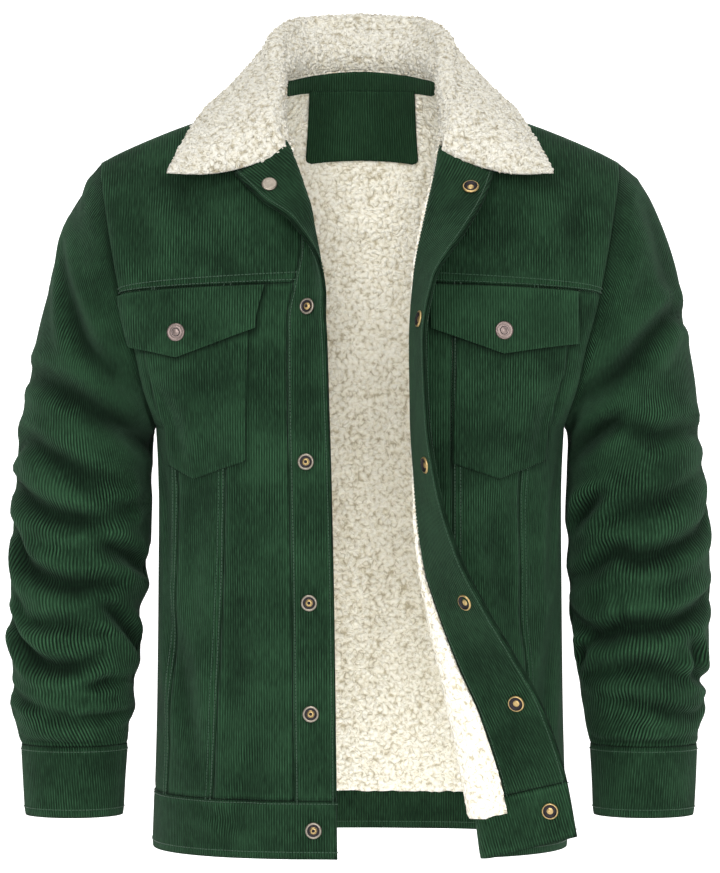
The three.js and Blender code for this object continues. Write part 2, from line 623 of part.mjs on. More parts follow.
// An overlay is cut from a grid's own triangles, so that it follows them. Its corners run one way round.
function overlay(name, grid, layer, corners) {
  const area = corners.reduce((sum, p, k) => {
    const q = corners[(k + 1) % corners.length];
    return sum + p.column * q.row - q.column * p.row;
  }, 0);
  const outline = area > 0 ? corners : [...corners].reverse();
  const clip = (shape) =>
    outline.reduce((kept, from, k) => {
      const to = outline[(k + 1) % outline.length];
      const run = { column: to.column - from.column, row: to.row - from.row };
      const side = (p) => run.column * (p.row - from.row) - run.row * (p.column - from.column);
      return kept.flatMap((p, n) => {
        const q = kept[(n + 1) % kept.length];
        const [a, b] = [side(p), side(q)];
        const list = a >= 0 ? [p] : [];
        if (a >= 0 !== b >= 0) {
          const t = a / (a - b);
          list.push({ column: lerp(p.column, q.column, t), row: lerp(p.row, q.row, t) });
        }
        return list;
      });
    }, shape);
  const found = new Map();
  const places = [];
  const indexed = (p) => {
    const key = `${Math.round(p.column * 2000)},${Math.round(p.row * 2000)}`;
    if (!found.has(key)) {
      found.set(key, places.length);
      places.push(onGrid(grid, p.column, p.row));
    }
    return found.get(key);
  };
  const faces = [];
  for (let j = 0; j < grid.points.length - 1; j += 1)
    for (let i = 0; i < grid.points[0].length - 1; i += 1)
      for (const half of [[[0, 0], [1, 0], [1, 1]], [[0, 0], [1, 1], [0, 1]]]) {
        const shape = clip(half.map(([u, v]) => ({ column: i + u, row: j + v }))).map(indexed);
        const ring = shape.filter((v, k) => v !== shape[(k + 1) % shape.length]);
        for (let k = 1; k < ring.length - 1; k += 1) faces.push([ring[0], ring[k], ring[k + 1]]);
      }
  add(name, "corduroy", skinned(places, faces, layer));
}

// Corners of the pocket and its flap: cloth from the free edge, and height
const POCKETS = {
  r: {
    flap: [[64, -183], [202, -183], [203, -227], [138, -246], [66, -222]],
    bag: [[70, -187], [172, -187], [164, -345], [131, -358], [77, -342]],
    button: [138, -223],
  },
  l: {
    flap: [[70, -183], [205, -183], [205, -231], [136, -244], [71, -223]],
    bag: [[96, -187], [200, -187], [187, -341], [134, -358], [90, -344]],
    button: [136, -223],
  },
};
for (const side of ["r", "l"]) {
  const front = fronts[side];
  const places = (corners) => corners.map(([m, z]) => onFront(front, m, z));
  overlay(`pocket_${side}`, front, POCKET_BAG, places(POCKETS[side].bag));
  overlay(`pocket_flap_${side}`, front, POCKET_FLAP, places(POCKETS[side].flap));
}

// Strip and patch inside the back of the neck, on the lining's inner face: half width and height of corners
const bothSides = (corners) => [
  ...corners.map(([x, z]) => onBack(x, z)),
  ...[...corners].reverse().map(([x, z]) => onBack(-x, z)),
];
overlay("neck_strip", back, NECK_STRIP, bothSides([[20, 14.5], [70, 24], [70, 32]]));
overlay("neck_patch", back, NECK_PATCH, bothSides([[46, -53], [54, -46], [54, 17]]));

// Sleeves. Rings start on the armhole, fan round under the shoulder and then hang level.
// in and out: the ends of each ring, seen from the front; deep: its half depth; at: its middle's y
const SLEEVE = {
  r: [
    { in: [191.6, -315], out: [251, -79], deep: 80, at: 0, shape: 0.25 },
    { in: [193, -321], out: [264, -101], deep: 80, at: 0, shape: 0.5 },
    { in: [193.5, -328], out: [276, -132], deep: 78, at: 0, shape: 0.75 },
    { in: [193.8, -336], out: [286, -173], deep: 75, at: 0, shape: 0.9 },
    { in: [194, -346], out: [298, -218], deep: 72, at: 0, shape: 1 },
    { in: [194, -360], out: [309, -275], deep: 69, at: -1, shape: 1 },
    { in: [193, -378], out: [318, -335], deep: 65, at: -2, shape: 1 },
    { in: [193.5, -396], out: [321, -382], deep: 63.5, at: -2, shape: 1 },
    { in: [194, -416], out: [322, -412], deep: 62.5, at: -3, shape: 1 },
    { in: [200, -436], out: [323.5, -436], deep: 61, at: -4, shape: 1 },
    { in: [196.5, -458], out: [324, -458], deep: 60.5, at: -5, shape: 1 },
    { in: [204.5, -481], out: [323, -481], deep: 58, at: -6, shape: 1 },
    { in: [204.5, -503], out: [325.5, -503], deep: 57.5, at: -8, shape: 1 },
    { in: [204.5, -525], out: [322.5, -525], deep: 55, at: -9, shape: 1 },
    { in: [210, -547], out: [321, -547], deep: 52, at: -11, shape: 1 },
    { in: [208.5, -568], out: [322, -568], deep: 50, at: -13, shape: 1 },
    { in: [214, -586], out: [318, -586], deep: 45, at: -14, shape: 1 },
    { in: [215.5, -603], out: [313, -603], deep: 40.5, at: -15, shape: 1 },
  ],
  l: [
    { in: [191.6, -315], out: [257.5, -79], deep: 80, at: 0, shape: 0.25 },
    { in: [193, -321], out: [270.5, -101], deep: 80, at: 0, shape: 0.5 },
    { in: [193.3, -328], out: [283, -132], deep: 78, at: 0, shape: 0.75 },
    { in: [193, -336], out: [294.5, -173], deep: 75, at: 0, shape: 0.9 },
    { in: [192.5, -346], out: [302.5, -218], deep: 72, at: 0, shape: 1 },
    { in: [192, -360], out: [312, -275], deep: 69, at: -1, shape: 1 },
    { in: [191, -378], out: [316.5, -335], deep: 65, at: -2, shape: 1 },
    { in: [190.5, -396], out: [321.5, -382], deep: 63.5, at: -2, shape: 1 },
    { in: [193.5, -416], out: [323.5, -412], deep: 62.5, at: -3, shape: 1 },
    { in: [191.8, -436], out: [324.5, -436], deep: 62, at: -4, shape: 1 },
    { in: [196, -458], out: [324.5, -458], deep: 60, at: -5, shape: 1 },
    { in: [195.5, -481], out: [322.5, -481], deep: 59, at: -6, shape: 1 },
    { in: [199, -503], out: [323.5, -503], deep: 57.5, at: -8, shape: 1 },
    { in: [200, -525], out: [323.5, -525], deep: 55, at: -9, shape: 1 },
    { in: [203.5, -547], out: [317, -547], deep: 52, at: -11, shape: 1 },
    { in: [206.5, -568], out: [319, -568], deep: 49, at: -13, shape: 1 },
    { in: [209, -586], out: [313.5, -586], deep: 44.5, at: -14, shape: 1 },
    { in: [213, -603], out: [311.5, -603], deep: 40.5, at: -15, shape: 1 },
  ],
};
const CUFF = {
  r: [
    { in: [215.2, -603], out: [313, -603], deep: 40.5, at: -15, shape: 1 },
    { in: [217.5, -636], out: [311, -636], deep: 38.5, at: -17, shape: 1 },
    { in: [219, -668], out: [309, -668], deep: 37.5, at: -19, shape: 1 },
  ],
  l: [
    { in: [213, -603], out: [311.5, -603], deep: 40.5, at: -15, shape: 1 },
    { in: [214.8, -636], out: [310, -636], deep: 38.5, at: -17, shape: 1 },
    { in: [215.8, -668], out: [308, -668], deep: 37.5, at: -19, shape: 1 },
  ],
};

for (const side of ["r", "l"]) {
  const front = fronts[side];
  const outwards = side === "r" ? -1 : 1;
  const frontEdge = front.points.slice(ARMPIT_INDEX).map((row) => row[row.length - 1]);
  const backEdge = back.points.slice(ARMPIT_INDEX).map((row) => (side === "r" ? row[0] : row[BACK_CELLS]));
  const armhole = [...frontEdge, ...backEdge.slice(1, -1).reverse()];
  const flat = armhole.map((p) => vec(p.x * outwards, p.y, p.z));
  const pit = flat[0];
  const tip = flat[frontEdge.length - 1];
  const long = tip.clone().sub(pit);
  const axis = vec(long.z, 0, -long.x).normalize();
  // Share along the ring's long axis and across it, for each point of the armhole
  const shares = flat.map((p) => ({
    u: p.clone().sub(pit).dot(long) / long.lengthSq(),
    v: p.y / ARMHOLE.depth,
  }));
  const half = frontEdge.length - 1;
  const around = flat.map((p, i) => {
    const count = flat.length;
    return i <= half ? (Math.PI * i) / half : Math.PI + (Math.PI * (i - half)) / (count - half);
  });
  const ring = (spec) => {
    const inner = vec(spec.in[0], 0, spec.in[1]);
    const outer = vec(spec.out[0], 0, spec.out[1]);
    return shares.map((share, i) => {
      const u = lerp(share.u, (1 - Math.cos(around[i])) / 2, spec.shape);
      const v = lerp(share.v, -Math.sin(around[i]), spec.shape);
      const p = inner.clone().lerp(outer, u);
      p.y = v * spec.deep + spec.at;
      return p;
    });
  };
  const place = (rings) => rings.map((points) => points.map((p) => vec(p.x * outwards, p.y, p.z)));
  const start = flat.map((p) => p.clone().addScaledVector(axis, 0.35));
  const sleeve = place([start, ...SLEEVE[side].map(ring)]);
  const normals = gridNormals(sleeve, true);
  const sign = side === "r" ? 1 : -1;
  normals.forEach((row) => row.forEach((n) => n.multiplyScalar(sign)));
  const worldAxis = vec(axis.x * outwards, 0, axis.z);
  normals[0].forEach((n) => n.addScaledVector(worldAxis, -n.dot(worldAxis)).normalize());
  // A sleeve is sewn from two pieces, with one seam along its top and one along its underside
  const panel = (from, to) => {
    const blocks = [[0, sleeve.length - 1, from, to]];
    return wall(sleeve, normals, SHELL, { wrap: true, blocks });
  };
  add(`sleeve_front_${side}`, "corduroy", panel(0, half));
  add(`sleeve_back_${side}`, "corduroy", panel(half, flat.length));
  const cuff = place(CUFF[side].map(ring));
  const cuffNormals = gridNormals(cuff, true);
  cuffNormals.forEach((row) => row.forEach((n) => n.multiplyScalar(sign)));
  add(`cuff_${side}`, "corduroy", wall(cuff, cuffNormals, BAND, { wrap: true }));
}

// The collar's line of sewing, from the turn of the right front round the back to the turn of the left front.
// Each place on it carries its point, the wall's direction there and the direction in which the cloth ends.
function neckEdge() {
  const place = (grid, j, i) => ({ point: grid.points[j][i], normal: grid.normals[j][i] });
  const frontPart = (side) => {
    const list = [];
    for (let j = NECK_INDEX; j <= TOP_INDEX; j += 1) list.push(place(fronts[side], j, fronts[side].neck));
    return list;
  };
  const backPart = [];
  const [corner, across] = BACK_PARTS;
  for (let i = corner + 1; i < corner + across; i += 1) backPart.push(place(back, TOP_INDEX, i));
  const edge = [...frontPart("r"), ...backPart, ...frontPart("l").reverse()];
  edge.forEach((place, i) => {
    const [from, to] = [edge[Math.max(i - 1, 0)], edge[Math.min(i + 1, edge.length - 1)]];
    place.end = to.point.clone().sub(from.point).cross(place.normal).normalize();
  });
  return edge;
}

// Where the collar turns over (r) and ends (e), by share of the neck from the back's middle to the front.
// dip and jut: how far down and forward the fall starts off where it must clear the lapel.
// face: 1 where the turn faces the edge, and less where it faces more to the front
const COLLAR = [
  { at: 0, rx: 0, ry: 85, rz: 84, ex: 0, ey: 113, ez: 6, bulge: 4, dip: 0, jut: 0, face: 1 },
  { at: 0.28, rx: 57, ry: 72, rz: 79, ex: 86, ey: 90, ez: -2, bulge: 3, dip: 0, jut: 0, face: 1 },
  { at: 0.56, rx: 80, ry: 14, rz: 52, ex: 133, ey: 20, ez: -7, bulge: 2, dip: 0, jut: 0, face: 1 },
  { at: 0.68, rx: 80, ry: -8, rz: 32, ex: 142, ey: -9, ez: -13, bulge: 3, dip: 0, jut: 0, face: 1 },
  { at: 0.8, rx: 80, ry: -34, rz: 12, ex: 157, ey: -46, ez: -39, bulge: 4, dip: 2, jut: 5, face: 0.85 },
  { at: 0.92, rx: 79, ry: -57, rz: -12, ex: 168, ey: -83, ez: -65, bulge: 3, dip: 11, jut: 12, face: 0.6 },
  { at: 1, rx: 77, ry: -67, rz: -33, ex: 173, ey: -104, ez: -80, bulge: -5, dip: 16, jut: 18, face: 0.25 },
];
const COLLAR_ROLL = 10; // radius of the turn at the collar's top, on its face
const collarColumn = {};
for (const name of Object.keys(COLLAR[0]).slice(1))
  collarColumn[name] = columnOf(COLLAR, "at", name);

function addCollar() {
  const edge = neckEdge();
  const fine = [];
  edge.forEach((place, i) => {
    fine.push(place);
    if (i === edge.length - 1) return;
    const next = edge[i + 1];
    const parts = Math.ceil(place.point.distanceTo(next.point) / 30);
    for (let k = 1; k < parts; k += 1) {
      const blend = (key) => place[key].clone().lerp(next[key], k / parts);
      fine.push({
        point: blend("point"),
        normal: blend("normal").normalize(),
        end: blend("end").normalize(),
      });
    }
  });
  const line = measured(fine.map((place) => place.point));
  let centre = 0;
  fine.forEach((place, i) => {
    if (Math.abs(place.point.x) < Math.abs(fine[centre].point.x)) centre = i;
  });
  const middle = line.lengths[centre];
  const rows = fine.map((place, i) => {
    const right = i < centre;
    const run = line.lengths[i] - middle;
    const share = right ? -run / middle : run / (line.total - middle);
    const sign = right ? -1 : 1;
    const read = (name) => collarColumn[name](share);
    const shift = right ? NECK_END.r.x - NECK_END.l.x : 0;
    const roll = vec(sign * (read("rx") + shift * share ** 6), read("ry"), read("rz"));
    const tip = vec(sign * read("ex"), read("ey"), read("ez"));
    const away = tip.clone().sub(roll).setZ(0).normalize();
    away.lerp(vec(0, -1, 0), 1 - read("face")).normalize();
    const step = (across, up) => roll.clone().addScaledVector(away, across).add(vec(0, 0, up));
    const foot = place.point.clone().addScaledVector(place.end, 0.4).addScaledVector(place.normal, -7.3);
    const r = COLLAR_ROLL;
    const clear = vec(0, -read("jut"), -read("dip"));
    const standTop = step(-r, -r * 1.1);
    const bend = foot.clone().addScaledVector(place.end, 0.45 * foot.distanceTo(standTop));
    const stand = (t) => foot.clone().lerp(bend, t).lerp(bend.clone().lerp(standTop, t), t);
    const down = step(r * 1.05, -r * 1.1).add(clear);
    const bulged = (t) => down.clone().lerp(tip, t).add(vec(0, 0, read("bulge") * Math.sin(Math.PI * t)));
    return [
      foot,
      stand(0.3),
      stand(0.65),
      stand(1),
      step(-r * 0.7, -r * 0.3),
      roll,
      step(r * 0.7, -r * 0.3).addScaledVector(clear, 0.35),
      down,
      bulged(0.33),
      bulged(0.66),
      tip,
    ];
  });
  const points = rows[0].map((_, j) => rows.map((row) => row[j]));
  const normals = gridNormals(points, false);
  // The face points into the neck at the foot and outwards on the fall
  fine.forEach(({ normal }, i) => {
    normals[0][i].copy(normal).negate();
    normals[1][i].addScaledVector(normal, -0.6).normalize();
  });
  add("collar", "sherpa", wall(points, normals, COLLAR_SHERPA));
  add("under_collar", "corduroy", wall(points, normals, UNDER_COLLAR));
}
addCollar();

// Snaps and buttons: turned discs that stand on a surface, given by their outline from the middle of the base
const SNAP_OUTLINE = [[7.4, 0], [7.4, 1.1], [5.8, 2], [0, 2]];
const CAP_OUTLINE = [[7, 0], [5.8, 1.4], [0, 1.4]];
const BUTTON_OUTLINE = [[8.2, 0], [8.2, 1.3], [6.6, 2.2], [0, 2.2]];

function addDisc(name, centre, normal, outline, segments) {
  const turn = new THREE.Quaternion().setFromUnitVectors(vec(0, 0, 1), normal);
  const put = (p) => p.applyQuaternion(turn).add(centre);
  const rings = outline.filter(([radius]) => radius > 0);
  const vertices = [put(vec(0, 0, 0))];
  rings.forEach(([radius, height]) => {
    for (let k = 0; k < segments; k += 1) {
      const a = (2 * Math.PI * k) / segments;
      vertices.push(put(vec(radius * Math.cos(a), radius * Math.sin(a), height)));
    }
  });
  vertices.push(put(vec(0, 0, outline[outline.length - 1][1])));
  const last = vertices.length - 1;
  const triangles = [];
  for (let k = 0; k < segments; k += 1) {
    const next = (k + 1) % segments;
    triangles.push(0, 1 + next, 1 + k);
    for (let ring = 0; ring < rings.length - 1; ring += 1) {
      const [a, b] = [1 + ring * segments, 1 + (ring + 1) * segments];
      triangles.push(a + k, a + next, b + next, a + k, b + next, b + k);
    }
    const top = 1 + (rings.length - 1) * segments;
    triangles.push(top + k, top + next, last);
  }
  add(name, "snap", closedGeometry(vertices, triangles));
}

// Cloth from the free edge and height of each snap, from the second down; the first, on the lapel, by its row
const SNAPS = {
  r: [[21, -203], [22, -342], [22, -468], [22, -567], [21, -671]],
  l: [[17, -215], [18, -345], [19, -470], [20, -567], [20, -668]],
};
const FIRST_SNAP = { r: { m: 15, row: NECK_INDEX - 0.7 }, l: { m: 15, row: NECK_INDEX - 0.7 } };
// Where the discs stand, from the garment's outer surface: outside, inside the facing, inside the waistband
const OUTER_FACE = 1.0;
const FACING_FACE = -4.0;
const BAND_FACE = -2.3;
// How far the cloth round a disc stands above the plane through its middle, on the face the disc lies on
function clearance(grid, column, row, place, face) {
  const cellWidth = onGrid(grid, column + 0.4, row).point.distanceTo(place.point) / 0.4;
  const cellHeight = onGrid(grid, column, row + 0.1).point.distanceTo(place.point) / 0.1;
  const around = steps(12).map((t) => {
    const [across, up] = [Math.cos(2 * Math.PI * t), Math.sin(2 * Math.PI * t)];
    const near = onGrid(grid, column + (8 * across) / cellWidth, row + (8 * up) / cellHeight).point;
    return near.sub(place.point).dot(place.normal) * face;
  });
  return Math.max(0, ...around);
}

for (const side of ["r", "l"]) {
  const front = fronts[side];
  const first = onFrontRow(front, FIRST_SNAP[side].m, FIRST_SNAP[side].row);
  [first, ...SNAPS[side].map(([m, z]) => onFront(front, m, z))].forEach(({ column, row }, k) => {
    const place = onGrid(front, column, row);
    const lift = [-1, 1].map((face) => clearance(front, column, row, place, face));
    const outside = place.point.clone().addScaledVector(place.normal, OUTER_FACE + lift[1]);
    const innerFace = row < WAIST ? BAND_FACE : FACING_FACE;
    const inside = place.point.clone().addScaledVector(place.normal, innerFace - lift[0]);
    const backwards = place.normal.clone().negate();
    const number = k + 1;
    if (side === "r") {
      addDisc(`snap_stud_${number}`, outside, place.normal, SNAP_OUTLINE, 10);
      addDisc(`snap_post_${number}`, inside, backwards, CAP_OUTLINE, 8);
    } else {
      addDisc(`snap_socket_${number}`, inside, backwards, SNAP_OUTLINE, 10);
      addDisc(`snap_cap_${number}`, outside, place.normal, CAP_OUTLINE, 8);
    }
  });
  const middle = onFront(front, ...POCKETS[side].button);
  const place = onGrid(front, middle.column, middle.row);
  const centre = place.point.clone().addScaledVector(place.normal, POCKET_FLAP.out + 0.6);
  addDisc(`flap_button_${side}`, centre, place.normal, BUTTON_OUTLINE, 12);
}

export default jacket;
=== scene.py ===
import bpy
import numpy as np
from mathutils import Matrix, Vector


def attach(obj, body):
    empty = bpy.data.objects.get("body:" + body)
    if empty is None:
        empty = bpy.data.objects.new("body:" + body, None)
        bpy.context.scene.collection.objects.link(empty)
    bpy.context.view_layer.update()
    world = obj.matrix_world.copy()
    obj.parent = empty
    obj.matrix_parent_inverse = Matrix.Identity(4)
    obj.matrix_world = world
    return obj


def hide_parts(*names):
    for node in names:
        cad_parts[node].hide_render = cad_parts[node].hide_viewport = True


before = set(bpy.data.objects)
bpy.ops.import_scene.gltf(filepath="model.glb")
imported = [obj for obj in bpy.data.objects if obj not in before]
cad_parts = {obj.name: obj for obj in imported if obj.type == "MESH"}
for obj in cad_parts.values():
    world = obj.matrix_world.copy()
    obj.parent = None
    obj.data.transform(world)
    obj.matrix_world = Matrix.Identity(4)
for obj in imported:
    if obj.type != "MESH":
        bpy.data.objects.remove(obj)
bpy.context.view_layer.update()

MM = 0.001


def lerp(a, b, t):
    return a + (b - a) * t


def smooth(t):
    t = np.clip(t, 0, 1)
    return t * t * (3 - 2 * t)


# Sizes of the cut, in millimetres
HEM, LINING_FOOT, WAIST_SEAM, ARMPIT, YOKE_SEAM = -697.0, -660.0, -645.0, -310.0, -181.0
YOKE_DROP = 10.0
SHOULDER_X = 240.0
NECK_X, NECK_Z = 82.0, 11.0
SQUARENESS = 2.5
ARMHOLE_DEPTH, ARMHOLE_TURN, ARMHOLE_SPREAD = 78.0, -215.0, -390.0
SHOULDER_ROUNDING = 110.0
BACK_NECK_SHARE, BACK_NECK_HEIGHT = 0.7, 34.0
NECK_END = {"r": (73.0, -53.0), "l": (80.0, -57.0)}
NECK_ROW_ARMHOLE, NECK_ROW_BACK = -125.0, -55.0
PLACKET_WIDTH, FACING_WIDTH = 38.0, 58.0
SIDE_SEAM_SHIFT = {"r": -22.0, "l": 12.0}
SEAM_SHARES = (0.3, 0.64)  # where the centre and middle seams' lines meet the neck row, by share of its width
BAG_CELL, BAG_PUFF = 2.6, 0.8
FLAP_CELL, FLAP_PUFF, FLAP_LIFT = 3.0, 0.6, 1.2
COLLAR_FOOT_RISE, COLLAR_FOOT_DEPTH = 0.4, 7.3
SEW = 0.25  # how far stitches stand off the cloth

# Outer and inner face of each layer of cloth, as distances out from the garment's outer surface
SHELL = (0.0, -1.6)
BAND = (0.6, -1.8)
PLACKET = (0.6, -1.6)
FACING = (-2.1, -3.5)
SHERPA = (-2.4, -7.2)
POCKET_BAG = (1.8, 0.6)
POCKET_FLAP = (4.0, 2.4)
NECK_STRIP = (-7.7, -8.9)
NECK_PATCH = (-9.3, -10.5)
COLLAR_SHERPA = (0.0, -4.6)
UNDER_COLLAR = (-5.2, -6.4)
SEAM_INSET, ARMHOLE_TUCK = 0.05, 1.1
WALE, SLEEVE_WALE = 2.35, 3.1  # from one rib of the corduroy to the next
PILE_LIFT, COLLAR_LIFT = 0.0012, 0.0015  # how far the pile's clumps rise, in metres

# Painted light and shade added to a piece's cloth, in the units of a fold's depth: lighter above 0, darker
# below it
FACING_PAINTED_SHADE, SLEEVE_PAINTED_SHADE, FLAP_PAINTED_LIGHT, NECK_PAINTED_LIGHT = -2.5, -1.2, 4.0, 5.0
# Painted shadows, as width and depth: round a pocket on its front, below a flap, and at the sleeve head
POCKET_SHADOWS = {"flap": (4.2, 7.5), "bag": (4.2, 4.0)}
UNDER_FLAP_SHADOW, SLEEVE_HEAD_SHADOW = (3.6, 8.5), (13, 6.0)


def table(names, rows):
    """Named columns from short rows of sizes."""
    return {name: np.array([row[k] for row in rows], float) for k, name in enumerate(names.split())}


TORSO = table(
    "z half front back",
    [
        (-697, 192, 125, 114), (-640, 190, 125, 113), (-560, 188, 125, 111), (-460, 187, 125, 111),
        (-383, 186.5, 125, 113), (-310, 189.5, 123, 116), (-275, 198, 120, 117), (-240, 205, 116, 117),
        (-215, 212, 112, 117), (-181, 220, 106, 117), (-145, 227, 98, 116), (-110, 233, 88, 114),
        (-64, 240, 69, 110), (12, 243, 54, 106), (60, 243, 48, 104),
    ],
)
RIDGE = table(
    "x z",
    [
        (0, 68), (40, 52), (66, 28), (82, 11), (110, -6), (147, -24), (175, -34.5), (203, -46), (225, -56),
        (240, -64),
    ],
)
LAPEL = {
    "r": table(
        "z start turn arc flap fall",
        [
            (-697, 56.6, 4, 31.5, 5, 0), (-468, 59.7, 10, 31.5, 5, 0), (-343, 62.3, 18, 31.5, 5, 0),
            (-279, 63.7, 28, 31.5, 5, 0), (-215, 64, 45, 31.5, 5, 0), (-186, 60, 65, 29.5, 8, -4),
            (-150, 54, 105, 26, 12, -10), (-119, 54.5, 138, 22, 18, -20), (-90, 60.5, 158, 18, 31, -28),
            (-53, 73, 170, 16.5, 41.5, -33),
        ],
    ),
    "l": table(
        "z start turn arc flap fall",
        [
            (-697, 119, 172, 30, 76, 15), (-640, 111, 168, 29.3, 75, 14), (-572, 97, 160, 27.9, 71, 13),
            (-524, 87, 148, 25.8, 64, 11), (-481, 77, 135, 23.6, 61, 8), (-428, 68, 122, 21.3, 54, 5),
            (-358, 61, 110, 19.2, 49, 2), (-300, 57.5, 106, 18.5, 47, 0), (-235, 57, 104, 18.2, 46, 0),
            (-176, 61, 108, 18.8, 49, -8), (-119, 70, 132, 18.4, 47, -18), (-80, 77, 156, 17, 43, -25),
            (-57, 80, 170, 16, 42, -28),
        ],
    ),
}
FRONT_SEAMS = {
    "r": table("z centre middle", [(-697, 118, 178), (-480, 104, 160), (-360, 98, 152), (-181, 92, 163)]),
    "l": table("z centre middle", [(-697, 90, 166), (-480, 90, 160), (-360, 90, 158), (-181, 90, 163)]),
}
# The soft waves of the body, by face: place across, height, lean, half width, depth and reach
BODY_WAVES = {
    -1: [(150, -430, 0.12, 16, -4, 170), (176, -560, 0.1, 14, 3, 120)],
    1: [(95, -430, 0.1, 26, 5, 210), (40, -520, 0.06, 24, -4, 160), (150, -330, 0.3, 18, -5, 130)],
}


def monotone(x, y):
    """A monotone cubic through rising x, with harmonic slopes."""
    order = np.argsort(x)
    x, y = np.asarray(x, float)[order], np.asarray(y, float)[order]
    rise = np.diff(y) / np.diff(x)
    slope = np.empty_like(x)
    slope[0], slope[-1] = rise[0], rise[-1]
    a, b = rise[:-1], rise[1:]
    total = np.where(np.abs(a + b) < 1e-12, 1.0, a + b)
    slope[1:-1] = np.where(a * b <= 0, 0.0, 2 * a * b / total)

    def read(at):
        v = np.clip(at, x[0], x[-1])
        i = np.clip(np.searchsorted(x, v, side="right") - 1, 0, len(x) - 2)
        w = x[i + 1] - x[i]
        t = (v - x[i]) / w
        low = (1 + 2 * t) * (1 - t) ** 2 * y[i] + t * (1 - t) ** 2 * w * slope[i]
        return low + t * t * (3 - 2 * t) * y[i + 1] + t * t * (t - 1) * w * slope[i + 1]

    return read


half_width = monotone(TORSO["z"], TORSO["half"])
front_depth = monotone(TORSO["z"], TORSO["front"])
back_depth = monotone(TORSO["z"], TORSO["back"])
ridge_height = monotone(RIDGE["x"], RIDGE["z"])
LAPEL_SIZES = ("start", "turn", "arc", "flap", "fall")
lapel_of = {
    side: {name: monotone(LAPEL[side]["z"], LAPEL[side][name]) for name in LAPEL_SIZES}
    for side in "rl"
}


def armhole_depth(z):
    share = np.clip((ARMHOLE_TURN - z) / (ARMHOLE_TURN - ARMPIT), 0, 1)
    return ARMHOLE_DEPTH * np.sqrt(1 - share**2)


def torso_depth(x, z, facing):
    """How far the cloth stands in front of the middle plane (facing -1) or behind it (1)."""
    full = np.where(facing < 0, front_depth(z), back_depth(z))
    across = np.clip(np.abs(x) / half_width(z), 0, 1)
    opened = ARMHOLE_DEPTH * smooth((z - ARMHOLE_SPREAD) / (ARMHOLE_TURN - ARMHOLE_SPREAD))
    depth = opened + (full - opened) * (1 - across**SQUARENESS) ** (1 / SQUARENESS)
    edge = (armhole_depth(z) - opened) * across**20
    below = np.clip((ridge_height(np.abs(x)) - z) / SHOULDER_ROUNDING, 0, 1)
    wave = np.zeros_like(depth)
    for face in (-1, 1):
        for at, height, lean, width, deep, reach in BODY_WAVES[face]:
            off = (np.abs(x) - at - lean * (height - z)) / width
            wave += np.where(facing == face, deep * np.exp(-(off**2) - ((z - height) / reach) ** 2), 0)
    return facing * ((depth + edge) * np.sqrt(1 - (1 - below) ** 2) + wave)


def ring_point(z, angle, face):
    """A point of the torso by angle from the side; a negative angle runs past the side to the other face."""
    facing = np.where(angle >= 0, face, -face)
    x = half_width(z) * np.cos(angle) ** (2 / SQUARENESS)
    return np.stack([x, torso_depth(x, z, facing), z + 0 * x], -1)


def row_height(level, share):
    z = lerp(HEM, YOKE_SEAM, min(level, 1.0))
    return z - YOKE_DROP * (1 - share) * np.clip((z - ARMPIT) / (YOKE_SEAM - ARMPIT), 0, 1)


def side_seam_angle(side, z):
    shift = SIDE_SEAM_SHIFT[side] * smooth((ARMPIT - z) / 110)
    return np.sign(shift) * (np.abs(shift) / front_depth(z)) ** (SQUARENESS / 2)


def between(a, b, t):
    return lerp(a[0], b[0], t), lerp(a[1], b[1], t)


def above(level, share, yoke, neck, top):
    low = between(yoke(share)[:2], neck(share), min(level - 1, 1))
    return low if level <= 2 else between(neck(share), top(share), level - 2)


STEP_COUNT = 80
STEPS = np.linspace(0, 1, STEP_COUNT + 1)


def front_row(side, level):
    """One row of a front, from its free edge or the neck to the side, and the index of the lapel's root."""
    lapel, end = lapel_of[side], NECK_END[side]

    def yoke(share):
        z = row_height(level, share)
        first = np.where(z > ARMPIT, 0.0, side_seam_angle(side, z))
        start = lapel["start"](row_height(level, 1.0))
        last = np.arccos((start / half_width(z)) ** (SQUARENESS / 2))
        turn = lerp(first, last, share)
        return half_width(z) * np.cos(turn) ** (2 / SQUARENESS), z, turn

    def neck(share):
        return lerp(half_width(NECK_ROW_ARMHOLE), end[0], share), lerp(NECK_ROW_ARMHOLE, end[1], share)

    def top(share):
        x = lerp(SHOULDER_X, NECK_X, share)
        return x, ridge_height(x)

    if level <= 1:
        _, z, turn = yoke(STEPS)
        body = ring_point(z, turn, -1)
    else:
        x, z = above(level, STEPS, yoke, neck, top)
        outer = above(level, 0.0, yoke, neck, top)
        inner = above(level, 1.0, yoke, neck, top)
        wanted = lapel["start"](inner[1]) if level <= 2 else inner[0] + 4 * np.sin(np.pi * (level - 2))
        x = x + (half_width(outer[1]) - outer[0]) * (1 - STEPS) ** 4 + (wanted - inner[0]) * STEPS**4
        body = np.stack([x, torso_depth(x, z, -1), z], -1)
    if level > 2:
        return body[::-1], 0
    root = body[-1]
    angle, arc, flap, fall = (float(lapel[name](root[2])) for name in ("turn", "arc", "flap", "fall"))
    angle, slope = np.radians(angle), np.tan(np.radians(fall))
    radius = arc / angle

    def turned(a, extra):
        return root + np.stack(
            [
                -radius * np.sin(a) - extra * np.cos(a),
                -radius * (1 - np.cos(a)) - extra * np.sin(a),
                slope * ((a / angle) ** 2 * arc * 0.3 + extra),
            ],
            -1,
        )

    roll = turned(angle * np.linspace(0, 1, 25)[1:], 0.0)
    flat = turned(np.full(12, angle), flap * np.linspace(0, 1, 13)[1:])
    return np.concatenate([body, roll, flat])[::-1], len(roll) + len(flat)


